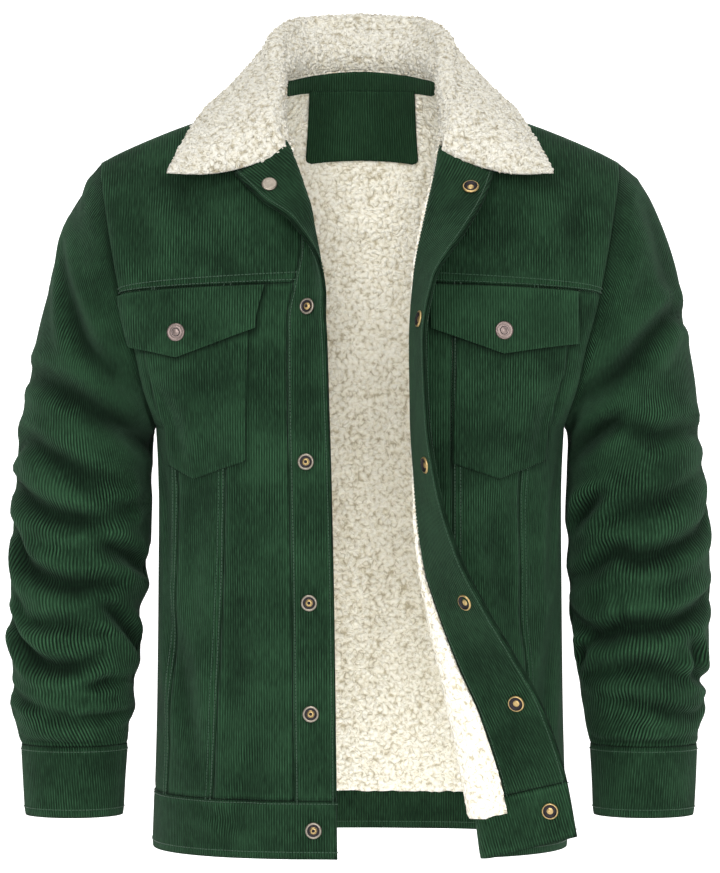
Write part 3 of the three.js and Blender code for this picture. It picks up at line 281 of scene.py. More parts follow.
def back_top(share):
    x_seam = lerp(SHOULDER_X, NECK_X, share / BACK_NECK_SHARE)
    t = np.clip((share - BACK_NECK_SHARE) / (1 - BACK_NECK_SHARE), 0, 1)
    x_neck = NECK_X * np.cos(t * np.pi / 2)
    z_neck = lerp(NECK_Z, BACK_NECK_HEIGHT, np.sin(t * np.pi / 2) ** 1.4)
    on_seam = share <= BACK_NECK_SHARE
    return np.where(on_seam, x_seam, x_neck), np.where(on_seam, ridge_height(x_seam), z_neck)


def back_row(level):
    """One row of the back from the wearer's right to left, and the indices of the neck's two corners."""

    def half(side):
        def yoke(share):
            z = row_height(level, 0.0)
            first = 0.0 if z > ARMPIT else -side_seam_angle(side, z)
            turn = lerp(first, np.pi / 2, share)
            return half_width(z) * np.cos(turn) ** (2 / SQUARENESS), z + 0 * turn, turn

        def neck(share):
            x = lerp(half_width(NECK_ROW_ARMHOLE), 0.0, share)
            return x, lerp(NECK_ROW_ARMHOLE, NECK_ROW_BACK, smooth(share))

        if level <= 1:
            _, z, turn = yoke(STEPS)
            return ring_point(z, turn, 1)
        x, z = above(level, STEPS, yoke, neck, back_top)
        outer = above(level, 0.0, yoke, neck, back_top)
        x = x + (half_width(outer[1]) - outer[0]) * (1 - STEPS) ** 4
        return np.stack([x, torso_depth(x, z, 1), z], -1)

    right = half("r") * (-1, 1, 1)
    corner = round(BACK_NECK_SHARE * STEP_COUNT)
    return np.concatenate([right, half("l")[::-1][1:]]), (corner, 2 * STEP_COUNT - corner)


def lengths_of(line):
    return np.concatenate([[0], np.cumsum(np.linalg.norm(np.diff(line, axis=0), axis=1))])


def at_lengths(line, lengths, wanted):
    return np.stack([np.interp(wanted, lengths, line[:, k]) for k in range(line.shape[1])], -1)


# Rows of the cut's main lines, each split into fine rows
MAIN_HEIGHTS = [HEM, LINING_FOOT, WAIST_SEAM, -580, -515, -450, -380, ARMPIT, -298, -272, -230, YOKE_SEAM]
MAIN_LEVELS = [(z - HEM) / (YOKE_SEAM - HEM) for z in MAIN_HEIGHTS]
MAIN_LEVELS += [1 + t for t in (0.36, 0.7, 1)] + [2 + t for t in (0.35, 0.65, 0.88, 1)]
FOOT, WAIST, PIT, YOKE, NECK, TOP = 1, 2, 7, 11, 14, 18  # numbers of the main rows
LEVEL_LENGTH = (YOKE_SEAM - HEM, 125.0, 115.0)  # millimetres of cloth per level: lower, lapel, shoulder


def fine_levels(cell):
    levels, marks = [0.0], [0]
    for a, b in zip(MAIN_LEVELS, MAIN_LEVELS[1:]):
        count = max(1, round((b - a) * LEVEL_LENGTH[min(int(a + 1e-9), 2)] / cell))
        levels += list(np.linspace(a, b, count + 1)[1:])
        marks.append(len(levels) - 1)
    return np.array(levels), marks


def grid_normals(points, sign, wrap=False):
    """Directions out of a grid of points, from its neighbours."""
    if wrap:
        across = np.roll(points, -1, 1) - np.roll(points, 1, 1)
    else:
        across = np.gradient(points, axis=1)
    normal = np.cross(across, np.gradient(points, axis=0))
    size = np.linalg.norm(normal, axis=-1, keepdims=True)
    return sign * normal / np.maximum(size, 1e-9)


def squared_to_shoulder(points, normals):
    """Near the shoulder seam the walls of front and back stand square to the line of the shoulders."""
    x = np.abs(points[..., 0])
    rise = ridge_height(np.maximum(x - 6, NECK_X)) - ridge_height(x + 6)
    up = np.stack([np.sign(points[..., 0]) * rise, 0 * x, x + 6 - np.maximum(x - 6, NECK_X)], -1)
    up /= np.maximum(np.linalg.norm(up, axis=-1, keepdims=True), 1e-9)
    share = np.where(x > NECK_X - 0.5, smooth(1 - np.abs(points[..., 1]) / 12), 0)[..., None]
    mixed = lerp(normals, up, share)
    return mixed / np.maximum(np.linalg.norm(mixed, axis=-1, keepdims=True), 1e-9)


class Grid:
    """Points of a surface in rows and columns, with directions, cloth coordinates and folds' depth plus
    painted shade.
    """

    def __init__(self, points, normals, u, v, wrap=False):
        self.points, self.normals, self.u, self.v, self.wrap = points, normals, u, v, wrap
        self.fold = np.zeros(points.shape[:2])

    def folded(self, depth):
        self.points = self.points + self.normals * depth[..., None]
        self.fold += depth
        sign = np.sign((grid_normals(self.points, 1, self.wrap) * self.normals).sum(-1, keepdims=True))
        self.smooth_normals = grid_normals(self.points, 1, self.wrap) * sign


def make_front(side, cell, cells):
    """A front as a fine grid; cells counts the columns of its placket, facing, centre, middle and side."""
    levels, marks = fine_levels(cell)
    points, u, distances = [], [], []
    seams = FRONT_SEAMS[side]
    centre_of = monotone(seams["z"], seams["centre"])
    middle_of = monotone(seams["z"], seams["middle"])
    for level in levels:
        line, root = front_row(side, level)
        lengths = lengths_of(line)
        z = lerp(HEM, YOKE_SEAM, min(level, 1.0))
        rise = np.clip(level - 1, 0, 1)
        first = 0.0 if level > 2 else FACING_WIDTH
        room = lengths[-1] - first
        centre = lerp(centre_of(z), first + room * SEAM_SHARES[0], rise)
        middle = lerp(middle_of(z), first + room * SEAM_SHARES[1], rise)
        anchors = [0, min(first, PLACKET_WIDTH), first, centre, middle, lengths[-1]]
        wanted = [0.0]
        for k, count in enumerate(cells):
            wanted += list(np.linspace(anchors[k], anchors[k + 1], count + 1)[1:])
        level_run = lengths_of(line * (1, 1, 0))
        points.append(at_lengths(line, lengths, wanted))
        u.append(line[root, 0] + np.interp(wanted, lengths, level_run) - level_run[root])
        distances.append(wanted)
    points = np.array(points)
    neck = cells[0] + cells[1]
    normals = grid_normals(points, 1)
    above_neck = slice(marks[NECK] + 1, None)
    upper = grid_normals(points[marks[NECK]:, neck:], 1)
    normals[above_neck, neck:] = upper[1:]
    if side == "r":
        points, normals = points * (-1, 1, 1), normals * (-1, 1, 1)
    normals = squared_to_shoulder(points, normals)
    grid = Grid(points, normals, np.array(u), points[..., 2].copy())
    grid.levels, grid.marks, grid.distances = levels, marks, np.array(distances)
    grid.ends = np.concatenate([[0], np.cumsum(cells)])
    return grid


def make_back(cell, cells):
    levels, marks = fine_levels(cell)
    parts = [cells // 3, cells - 2 * (cells // 3), cells // 3]
    points, u = [], []
    for level in levels:
        line, corners = back_row(level)
        lengths = lengths_of(line)
        anchors = [0, lengths[corners[0]], lengths[corners[1]], lengths[-1]]
        tops = [0.0]
        for k, count in enumerate(parts):
            tops += list(np.linspace(anchors[k], anchors[k + 1], count + 1)[1:])
        even = np.linspace(0, lengths[-1], cells + 1)
        wanted = lerp(even, np.array(tops), np.clip(level - 1, 0, 1))
        level_run = lengths_of(line * (1, 1, 0))
        points.append(at_lengths(line, lengths, wanted))
        u.append(np.interp(wanted, lengths, level_run) - level_run[STEP_COUNT])
    points = np.array(points)
    normals = squared_to_shoulder(points, grid_normals(points, -1))
    grid = Grid(points, normals, np.array(u), points[..., 2].copy())
    grid.levels, grid.marks, grid.neck = levels, marks, (parts[0], parts[0] + parts[1])
    return grid


# Sleeves: a ring's ends seen from the front (inner x z, outer x z), half depth, middle's y, and roundness
SLEEVE = {
    "r": table(
        "ix iz ox oz deep at shape",
        [
            (191.6, -315, 251, -79, 80, 0, 0.25), (193, -321, 264, -101, 80, 0, 0.5),
            (193.5, -328, 276, -132, 78, 0, 0.75), (193.8, -336, 286, -173, 75, 0, 0.9),
            (194, -346, 298, -218, 72, 0, 1), (194, -360, 309, -275, 69, -1, 1),
            (193, -378, 318, -335, 65, -2, 1), (193.5, -396, 321, -382, 63.5, -2, 1),
            (194, -416, 322, -412, 62.5, -3, 1), (200, -436, 323.5, -436, 61, -4, 1),
            (196.5, -458, 324, -458, 60.5, -5, 1), (204.5, -481, 323, -481, 58, -6, 1),
            (204.5, -503, 325.5, -503, 57.5, -8, 1), (204.5, -525, 322.5, -525, 55, -9, 1),
            (210, -547, 321, -547, 52, -11, 1), (208.5, -568, 322, -568, 50, -13, 1),
            (214, -586, 318, -586, 45, -14, 1), (215.5, -603, 313, -603, 40.5, -15, 1),
        ],
    ),
    "l": table(
        "ix iz ox oz deep at shape",
        [
            (191.6, -315, 257.5, -79, 80, 0, 0.25), (193, -321, 270.5, -101, 80, 0, 0.5),
            (193.3, -328, 283, -132, 78, 0, 0.75), (193, -336, 294.5, -173, 75, 0, 0.9),
            (192.5, -346, 302.5, -218, 72, 0, 1), (192, -360, 312, -275, 69, -1, 1),
            (191, -378, 316.5, -335, 65, -2, 1), (190.5, -396, 321.5, -382, 63.5, -2, 1),
            (193.5, -416, 323.5, -412, 62.5, -3, 1), (191.8, -436, 324.5, -436, 62, -4, 1),
            (196, -458, 324.5, -458, 60, -5, 1), (195.5, -481, 322.5, -481, 59, -6, 1),
            (199, -503, 323.5, -503, 57.5, -8, 1), (200, -525, 323.5, -525, 55, -9, 1),
            (203.5, -547, 317, -547, 52, -11, 1), (206.5, -568, 319, -568, 49, -13, 1),
            (209, -586, 313.5, -586, 44.5, -14, 1), (213, -603, 311.5, -603, 40.5, -15, 1),
        ],
    ),
}
CUFF = {
    "r": table(
        "ix iz ox oz deep at shape",
        [(215.2, -603, 313, -603, 40.5, -15, 1), (217.5, -636, 311, -636, 38.5, -17, 1),
         (219, -668, 309, -668, 37.5, -19, 1)],
    ),
    "l": table(
        "ix iz ox oz deep at shape",
        [(213, -603, 311.5, -603, 40.5, -15, 1), (214.8, -636, 310, -636, 38.5, -17, 1),
         (215.8, -668, 308, -668, 37.5, -19, 1)],
    ),
}


def armhole(side, front, back, count):
    """Points round the armhole for count even turns, from the armpit up the front and down the back."""
    levels = np.array(MAIN_LEVELS[PIT:])
    half = len(levels) - 1
    turn = np.linspace(0, 2, count, endpoint=False)
    front_edge = front.points[:, -1]
    back_edge = back.points[:, 0 if side == "r" else -1]
    level = np.interp(np.where(turn <= 1, turn, 2 - turn) * half, np.arange(half + 1), levels)
    ahead = np.stack([np.interp(level, front.levels, front_edge[:, k]) for k in range(3)], -1)
    behind = np.stack([np.interp(level, back.levels, back_edge[:, k]) for k in range(3)], -1)
    return np.where((turn <= 1)[:, None], ahead, behind), turn * np.pi


def make_tube(side, rings, start, turn, shares, count):
    """Rings of a sleeve or cuff, finely spaced, as a grid that wraps round."""
    index = np.arange(len(rings["ix"]))
    read = {name: monotone(index, rings[name]) for name in rings}
    rows = []
    for at in np.linspace(0, index[-1], count):
        ring = {name: float(read[name](at)) for name in rings}
        u = lerp(shares[:, 0], (1 - np.cos(turn)) / 2, ring["shape"])
        v = lerp(shares[:, 1], -np.sin(turn), ring["shape"])
        x = lerp(ring["ix"], ring["ox"], u)
        z = lerp(ring["iz"], ring["oz"], u)
        rows.append(np.stack([x, v * ring["deep"] + ring["at"], z], -1))
    if start is not None:
        first = [lerp(start, rows[0], t) for t in np.linspace(0, 1, 7)[:-1]]
        rows = first + rows
    points = np.array(rows)
    if side == "r":
        points = points * (-1, 1, 1)
    normals = grid_normals(points, 1, wrap=True)
    middle = points.mean(1, keepdims=True)
    outward = np.sign((normals * (points - middle)).sum(-1).mean())
    normals = normals * outward
    around = np.linalg.norm(np.diff(np.concatenate([points, points[:, :1]], 1), axis=1), axis=-1)
    run = np.concatenate([np.zeros((len(points), 1)), np.cumsum(around, 1)[:, :-1]], 1)
    top = points.shape[1] // 2
    along = np.concatenate([[0], np.cumsum(np.linalg.norm(np.diff(points[:, top], axis=0), axis=-1))])
    along = np.repeat(along[:, None], points.shape[1], 1)
    return Grid(points, normals, run - run[:, top:top + 1], along, wrap=True)


def make_sleeve(side, front, back, around, rows, cuff_rows):
    ring, turn = armhole(side, front, back, around)
    flat = ring * ((-1, 1, 1) if side == "r" else (1, 1, 1))
    pit, tip = flat[0], flat[around // 2]
    long = tip - pit
    axis = np.array([long[2], 0, -long[0]]) / np.hypot(long[0], long[2])
    shares = np.stack([(flat - pit) @ long / (long @ long), flat[:, 1] / ARMHOLE_DEPTH], -1)
    start = flat - axis * ARMHOLE_TUCK
    sleeve = make_tube(side, SLEEVE[side], start, turn, shares, rows)
    cuff = make_tube(side, CUFF[side], None, turn, shares, cuff_rows)
    return sleeve, cuff


# A crease: its points (x, z), or (x, z, 1) on the face that looks back, then its half width and depth
def placed(grid, point):
    """The point of a grid nearest to x and z, on the face that looks forward (-1) or back (1)."""
    x, z, face = (*point, -1)[:3]
    off = np.hypot(grid.points[..., 0] - x, grid.points[..., 2] - z)
    off = off + np.where(grid.normals[..., 1] * face > -0.15, 0, 1000)
    return grid.points.reshape(-1, 3)[off.argmin()]


def softened(points, per=5):
    """A smooth line through a few points."""
    t = np.arange(len(points), dtype=float)
    fine = np.linspace(0, len(points) - 1, per * (len(points) - 1) + 1)
    if len(points) == 2:
        return at_lengths(points, t, fine)
    slope = np.gradient(points, axis=0)
    i = np.clip(fine.astype(int), 0, len(points) - 2)
    s = (fine - i)[:, None]
    a, b, ma, mb = points[i], points[i + 1], slope[i], slope[i + 1]
    start = a * (1 + 2 * s) * (1 - s) ** 2 + ma * s * (1 - s) ** 2
    return start + b * s * s * (3 - 2 * s) + mb * s * s * (s - 1)


def crease_depth(grid, creases):
    """Sum of the creases' troughs and ridges over a grid."""
    total = np.zeros(grid.points.shape[:2])
    for points, width, depth in creases:
        path = softened(np.array([placed(grid, p) for p in points]))
        low, high = path.min(0) - 4 * width, path.max(0) + 4 * width
        near = ((grid.points > low) & (grid.points < high)).all(-1)
        cloth, facing = grid.points[near], grid.normals[near]
        best = np.full(len(cloth), 1e9)
        off = np.zeros(len(cloth))
        along = np.zeros(len(cloth))
        for k, (a, b) in enumerate(zip(path[:-1], path[1:])):
            run = b - a
            t = np.clip((cloth - a) @ run / max(run @ run, 1e-9), 0, 1)
            gap = cloth - a - t[:, None] * run
            distance = np.linalg.norm(gap, axis=1)
            side = np.sign((np.cross(run, facing) * gap).sum(1))
            closer = distance < best
            best = np.where(closer, distance, best)
            off = np.where(closer, side * distance, off)
            along = np.where(closer, (k + t) / (len(path) - 1), along)
        taper = np.sin(np.pi * (0.06 + 0.88 * along)) ** 0.8
        s = off / (0.88 * width * (0.6 + 0.4 * taper))
        trough = np.exp(-(s**2)) - 0.55 * np.exp(-(((np.abs(s) - 2.0) / 1.0) ** 2))
        total[near] += -1.15 * depth * taper * trough
    return total


SLEEVE_CREASES = {
    "r": [
        ([(-275, -145), (-262, -208), (-249, -235), (-225, -262)], 11, 7.0),
        ([(-312, -262, 1), (-297, -262), (-270, -279), (-240, -297), (-206, -316), (-192, -330)], 12, 8.0),
        ([(-322, -335, 1), (-306, -322), (-278, -342), (-243, -356), (-216, -366)], 11, 7.5),
        ([(-268, -358), (-240, -375), (-217, -382), (-196, -380)], 8, 5.0),
        ([(-322, -362, 1), (-316, -366), (-306, -378), (-278, -390), (-254, -395), (-232, -394),
          (-210, -391)], 10, 9.0),
        ([(-242, -410), (-227, -420), (-208, -434), (-197, -446)], 9, 7.0),
        ([(-324, -400, 1), (-317, -410), (-308, -436), (-290, -449), (-262, -455), (-234, -453),
          (-220, -450)], 10, 9.5),
        ([(-238, -468), (-220, -486), (-206, -510), (-204, -518)], 8, 7.0),
        ([(-318, -462), (-304, -488), (-282, -491), (-262, -493), (-234, -502)], 7, 4.5),
        ([(-326, -486, 1), (-320, -492), (-308, -514), (-294, -525), (-278, -530), (-254, -528),
          (-234, -518)], 9, 9.0),
        ([(-252, -547), (-232, -544), (-209, -541)], 6, 4.5),
        ([(-322, -548, 1), (-317, -557), (-296, -568), (-270, -572), (-248, -560)], 6, 4.5),
        ([(-318, -572), (-284, -579), (-256, -577), (-226, -575), (-209, -570)], 6, 4.5),
        ([(-312, -596), (-284, -602), (-244, -604), (-212, -596)], 5, 3.5),
        ([(-296, -70), (-262, -100), (-250, -150)], 14, 3.0),
        ([(-286, -150, 1), (-262, -215, 1), (-226, -262, 1)], 13, 6.5),
        ([(-300, -270, 1), (-262, -290, 1), (-214, -325, 1)], 12, 7.5),
        ([(-312, -336, 1), (-272, -350, 1), (-228, -372, 1)], 11, 7.0),
        ([(-318, -392, 1), (-290, -412, 1), (-248, -418, 1), (-214, -402, 1)], 10, 8.0),
        ([(-312, -446, 1), (-280, -462, 1), (-240, -460, 1), (-212, -446, 1)], 10, 8.0),
        ([(-316, -500, 1), (-286, -520, 1), (-246, -522, 1), (-214, -505, 1)], 9, 7.5),
        ([(-312, -552, 1), (-276, -562, 1), (-232, -556, 1)], 7, 5.0),
        ([(-308, -582, 1), (-262, -588, 1), (-222, -580, 1)], 6, 4.0),
    ],
    "l": [
        ([(304, -212, 1), (290, -207), (271, -225), (253, -242), (232, -262), (198, -284)], 12, 8.0),
        ([(240, -140), (222, -180), (214, -226)], 12, 4.0),
        ([(318, -318, 1), (302, -312), (270, -318), (240, -310), (216, -312)], 11, 6.5),
        ([(236, -300), (214, -318), (197, -336)], 9, 7.5),
        ([(322, -345), (300, -366), (276, -376), (250, -384), (222, -398)], 10, 5.0),
        ([(220, -370), (206, -386), (196, -402)], 9, 8.5),
        ([(324, -372, 1), (318, -398), (292, -420), (256, -430), (232, -424), (208, -444),
          (196, -452)], 10, 8.0),
        ([(324, -462, 1), (320, -470), (289, -487), (261, -492), (239, -494), (221, -500),
          (207, -496), (196, -484)], 10, 9.5),
        ([(236, -466), (240, -488)], 5, 4.0),
        ([(300, -500), (308, -516), (311, -538), (316, -548, 1)], 8, 6.0),
        ([(214, -505), (205, -520), (203, -532)], 7, 5.0),
        ([(312, -542), (296, -540), (268, -530), (236, -532), (210, -540)], 8, 4.5),
        ([(318, -560, 1), (309, -574), (278, -570), (246, -562), (206, -560)], 7, 4.5),
        ([(312, -592), (276, -600), (240, -602), (214, -596)], 5, 3.5),
        ([(262, -110), (280, -170), (288, -196)], 14, 3.0),
        ([(290, -160, 1), (262, -222, 1), (222, -268, 1)], 13, 6.5),
        ([(306, -280, 1), (262, -300, 1), (212, -330, 1)], 12, 7.5),
        ([(314, -345, 1), (276, -352, 1), (222, -380, 1)], 11, 7.0),
        ([(316, -402, 1), (284, -420, 1), (240, -416, 1), (208, -398, 1)], 10, 8.0),
        ([(314, -456, 1), (276, -470, 1), (236, -462, 1), (206, -450, 1)], 10, 8.0),
        ([(314, -510, 1), (280, -526, 1), (240, -520, 1), (212, -508, 1)], 9, 7.0),
        ([(308, -560, 1), (270, -566, 1), (226, -558, 1)], 7, 5.0),
    ],
}
FRONT_CREASES = {
    "r": [
        ([(-188, -268), (-170, -300), (-160, -345)], 12, 3.0),
        ([(-184, -330), (-178, -380), (-174, -450)], 9, 2.5),
        ([(-176, -470), (-160, -540), (-150, -610)], 14, 3.5),
        ([(-120, -420), (-112, -500), (-116, -590)], 16, 2.5),
        ([(-85, -560), (-95, -620), (-120, -680)], 13, 2.5),
        ([(-150, -650), (-120, -664), (-80, -668)], 7, 1.5),
        ([(-50, -560), (-42, -590), (-36, -602)], 5, 1.2),
        ([(-205, -90), (-196, -140), (-192, -170)], 12, 2.0),
    ],
    "l": [
        ([(186, -266), (168, -296), (158, -340)], 12, 3.0),
        ([(182, -330), (176, -390), (172, -460)], 9, 2.5),
        ([(178, -480), (170, -540), (168, -600)], 12, 3.0),
        ([(118, -380), (126, -440), (140, -500)], 14, 2.5),
        ([(200, -90), (196, -140), (190, -172)], 12, 2.0),
        ([(120, -60), (150, -70), (186, -84)], 14, 1.5),
    ],
}
BACK_CREASES = [
    ([(-198, -230, 1), (-160, -262, 1), (-118, -300, 1)], 13, 4.5),
    ([(198, -226, 1), (164, -266, 1), (126, -296, 1)], 13, 4.5),
    ([(-186, -300, 1), (-158, -346, 1), (-140, -410, 1)], 12, 4.0),
    ([(187, -306, 1), (162, -352, 1), (150, -420, 1)], 12, 4.0),
    ([(-80, -470, 1), (-92, -560, 1), (-84, -640, 1)], 17, 3.5),
    ([(36, -430, 1), (30, -520, 1), (44, -630, 1)], 18, 3.0),
    ([(120, -500, 1), (108, -580, 1), (114, -640, 1)], 15, 3.5),
    ([(-30, -110, 1), (0, -118, 1), (34, -112, 1)], 14, 1.5),
]


def clothing_faces(filled, wrap):
    """Quads of a grid's filled cells and its open edges, as pairs of (row, column) vertices."""
    rows, cols = filled.shape
    j, i = np.nonzero(filled)
    right = (i + 1) % cols if wrap else i + 1
    quads = np.stack([j, i, j, right, j + 1, right, j + 1, i], 1).reshape(-1, 4, 2)
    padded = np.zeros((rows + 2, cols + 2), bool)
    padded[1:-1, 1:-1] = filled
    if wrap:
        padded[1:-1, 0], padded[1:-1, -1] = filled[:, -1], filled[:, 0]
    edges = []
    neighbours = ((-1, 0, 0, 1), (0, 1, 1, 2), (1, 0, 2, 3), (0, -1, 3, 0))
    for dj, di, a, b in neighbours:
        open_here = ~padded[j + 1 + dj, i + 1 + di]
        edges.append(quads[open_here][:, [a, b]])
    return quads, np.concatenate(edges)


def boundary_distance(filled, wrap, most=3):
    """How many cells each vertex lies from the edge of the filled cells, up to most."""
    rows, cols = filled.shape
    count = np.zeros((rows + 1, cols + 1), int)
    for dj in (0, 1):
        for di in (0, 1):
            count[dj:dj + rows, di:di + cols] += filled
    if wrap:
        count = count[:, :-1]
        count[:, 0] += np.concatenate([filled[:, -1], [0]]) + np.concatenate([[0], filled[:, -1]])
    inside = count == 4
    used = count > 0
    distance = np.where(inside, most, 0)
    for step in range(most - 1, 0, -1):
        near = np.zeros_like(inside)
        for dj, di in ((0, 1), (0, -1), (1, 0), (-1, 0)):
            outer = (distance < most - step) & used
            near |= np.roll(outer, (dj, di), (0, 1))
        distance = np.where((distance == most) & near, most - step, distance)
    return distance, used


def wall_mesh(name, grid, filled, layer, dips=(0.7, 0.2), rims=(1.0, -0.7), shade=0.0):
    """A closed wall between two offsets of a grid's filled cells. Its edges are drawn in from the seam."""
    points, normals = grid.points, getattr(grid, "smooth_normals", grid.normals)
    quads, edges = clothing_faces(filled, grid.wrap)
    distance, used = boundary_distance(filled, grid.wrap)
    rows, cols = points.shape[:2]
    moved = points.copy()
    columns = np.arange(cols)
    for dj, di in ((0, 1), (0, -1), (1, 0), (-1, 0)):
        nj = np.clip(np.arange(rows) + dj, 0, rows - 1)
        ni = (columns + di) % cols if grid.wrap else np.clip(columns + di, 0, cols - 1)
        there = used[np.ix_(nj, ni)] & (distance[np.ix_(nj, ni)] > distance) & (distance == 0)
        way = points[np.ix_(nj, ni)] - points
        size = np.maximum(np.linalg.norm(way, axis=-1, keepdims=True), 1e-6)
        moved = moved + np.where(there[..., None], way / size * SEAM_INSET, 0)
    dip = np.select([distance == 0, distance == 1], dips, 0.0)
    outer = moved + normals * (layer[0] - dip)[..., None]
    inner = moved + normals * (layer[1] + dip * 0.6)[..., None]
    number = np.full((rows, cols), -1)
    number[used] = np.arange(used.sum())
    n = int(used.sum())
    q = number[quads[..., 0], quads[..., 1]]
    e = number[edges[..., 0], edges[..., 1]]
    faces = np.concatenate([q, q[:, ::-1] + n, np.stack([e[:, 1], e[:, 0], e[:, 0] + n, e[:, 1] + n], 1)])
    vertices = np.concatenate([outer[used], inner[used]])
    uv = np.stack([grid.u[used], grid.v[used]], -1)
    mesh = mesh_from(name, vertices, faces, np.concatenate([uv, uv]))
    # The folds' depth with the piece's painted shading added: lighter above 0, darker below it
    fold = np.concatenate([grid.fold[used], grid.fold[used]]) + shade
    # Rims paint shade along the edge row and the row inside it where above 0, and a highlight where below 0
    rim = np.select([distance == 0, distance == 1], rims, 0.0)
    edge = np.concatenate([rim[used], rim[used]])
    side = np.concatenate([np.zeros(n), np.ones(n)])
    for label, values in (("fold", fold), ("edge", edge), ("inside", side)):
        set_attribute(mesh, label, values)
    return mesh


def set_attribute(mesh, label, values):
    attribute = mesh.attributes.new(label, "FLOAT", "POINT")
    attribute.data.foreach_set("value", values.astype(np.float32))


def new_object(name, data):
    made = bpy.data.objects.new(name, data)
    bpy.context.scene.collection.objects.link(made)
    return made


def mesh_from(name, vertices, faces, uv):
    """A mesh in metres from millimetres, with its faces outwards and smooth."""
    mesh = bpy.data.meshes.new(name)
    a, b, c, d = (vertices[faces[:, k]] for k in range(4))
    volume = (a * np.cross(b, c)).sum() + (a * np.cross(c, d)).sum()
    if volume < 0:
        faces = faces[:, ::-1]
    mesh.from_pydata((vertices * MM).tolist(), [], faces.tolist())
    mesh.polygons.foreach_set("use_smooth", np.ones(len(mesh.polygons), bool))
    layer = mesh.uv_layers.new(name="UVMap")
    corner = np.zeros(len(mesh.loops), np.int32)
    mesh.loops.foreach_get("vertex_index", corner)
    layer.data.foreach_set("uv", (uv[corner] * MM).astype(np.float32).ravel())
    return mesh


def add_piece(name, mesh, material, slot, *nodes):
    """An object for a mesh, riding on the jacket's one body and standing for the nodes that it replaces."""
    piece = new_object(name, mesh)
    if material is not None:
        mesh.materials.append(material)
    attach(piece, "root")
    if nodes:
        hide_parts(*nodes)
    return piece


class Value:
    """A shader socket on which Python's operators add Math nodes."""

    def __init__(self, graph, socket):
        self.graph, self.socket = graph, socket

    def math(self, operation, *others):
        values = {k: v for k, v in enumerate((self, *others))}
        return self.graph.node("ShaderNodeMath", {"operation": operation}, values)

    def __add__(self, other):
        return self.math("ADD", other)

    def __sub__(self, other):
        return self.math("SUBTRACT", other)

    def __rsub__(self, other):
        return self.graph.node("ShaderNodeMath", {"operation": "SUBTRACT"}, {0: other, 1: self})

    def __mul__(self, other):
        return self.math("MULTIPLY", other)

    def __pow__(self, other):
        return self.math("POWER", other)

    def limited(self, low, high):
        return self.math("MAXIMUM", low).math("MINIMUM", high)

    __radd__ = __add__
    __rmul__ = __mul__


class Shader:
    """A material's node graph around one Principled shader."""

    def __init__(self, name, **principled):
        self.material = bpy.data.materials.new(name)
        self.material.use_nodes = True
        self.tree = self.material.node_tree
        self.main = self.tree.nodes["Principled BSDF"]
        for label, value in principled.items():
            self.main.inputs[label.replace("_", " ")].default_value = value

    def node(self, kind, settings=None, inputs=None, output=0):
        made = self.tree.nodes.new(kind)
        for label, value in (settings or {}).items():
            if label == "stops":
                self.set_stops(made.color_ramp, value)
            else:
                setattr(made, label, value)
        for label, value in (inputs or {}).items():
            if isinstance(value, Value):
                self.tree.links.new(value.socket, made.inputs[label])
            else:
                made.inputs[label].default_value = value
        return Value(self, made.outputs[output])

    def set_stops(self, ramp, stops):
        while len(ramp.elements) < len(stops):
            ramp.elements.new(0.5)
        for element, (position, colour) in zip(ramp.elements, stops):
            element.position = position
            element.color = (*colour, 1)

    def ramp(self, value, stops):
        return self.node("ShaderNodeValToRGB", {"stops": stops}, {"Fac": value})

    def mix(self, factor, a, b):
        colours = {"Factor": factor, "A": a, "B": b}
        made = self.tree.nodes.new("ShaderNodeMix")
        made.data_type = "RGBA"
        sockets = {"Factor": made.inputs[0], "A": made.inputs[6], "B": made.inputs[7]}
        for label, value in colours.items():
            if isinstance(value, Value):
                self.tree.links.new(value.socket, sockets[label])
            else:
                sockets[label].default_value = value if label == "Factor" else (*value, 1)
        return Value(self, made.outputs[2])

    def attribute(self, name):
        return self.node("ShaderNodeAttribute", {"attribute_name": name}, output="Fac")

    def noise(self, vector, scale, detail=2.0, roughness=0.5, distortion=0.0):
        inputs = {"Vector": vector, "Scale": scale, "Detail": detail, "Roughness": roughness}
        inputs["Distortion"] = distortion
        return self.node("ShaderNodeTexNoise", {}, inputs, output="Fac")

    def to(self, label, value):
        self.tree.links.new(value.socket, self.main.inputs[label])

    def bump(self, height, strength, distance):
        inputs = {"Height": height, "Strength": strength, "Distance": distance}
        self.to("Normal", self.node("ShaderNodeBump", {}, inputs, output="Normal"))


GREEN_DARK = (0.0009, 0.0040, 0.0018)
GREEN_MID = (0.0088, 0.0300, 0.0130)
GREEN_LIGHT = (0.0285, 0.0850, 0.0390)
CREAM_DARK = (0.50, 0.44, 0.31)
CREAM = (0.82, 0.775, 0.645)
CREAM_LIGHT = (0.91, 0.88, 0.775)


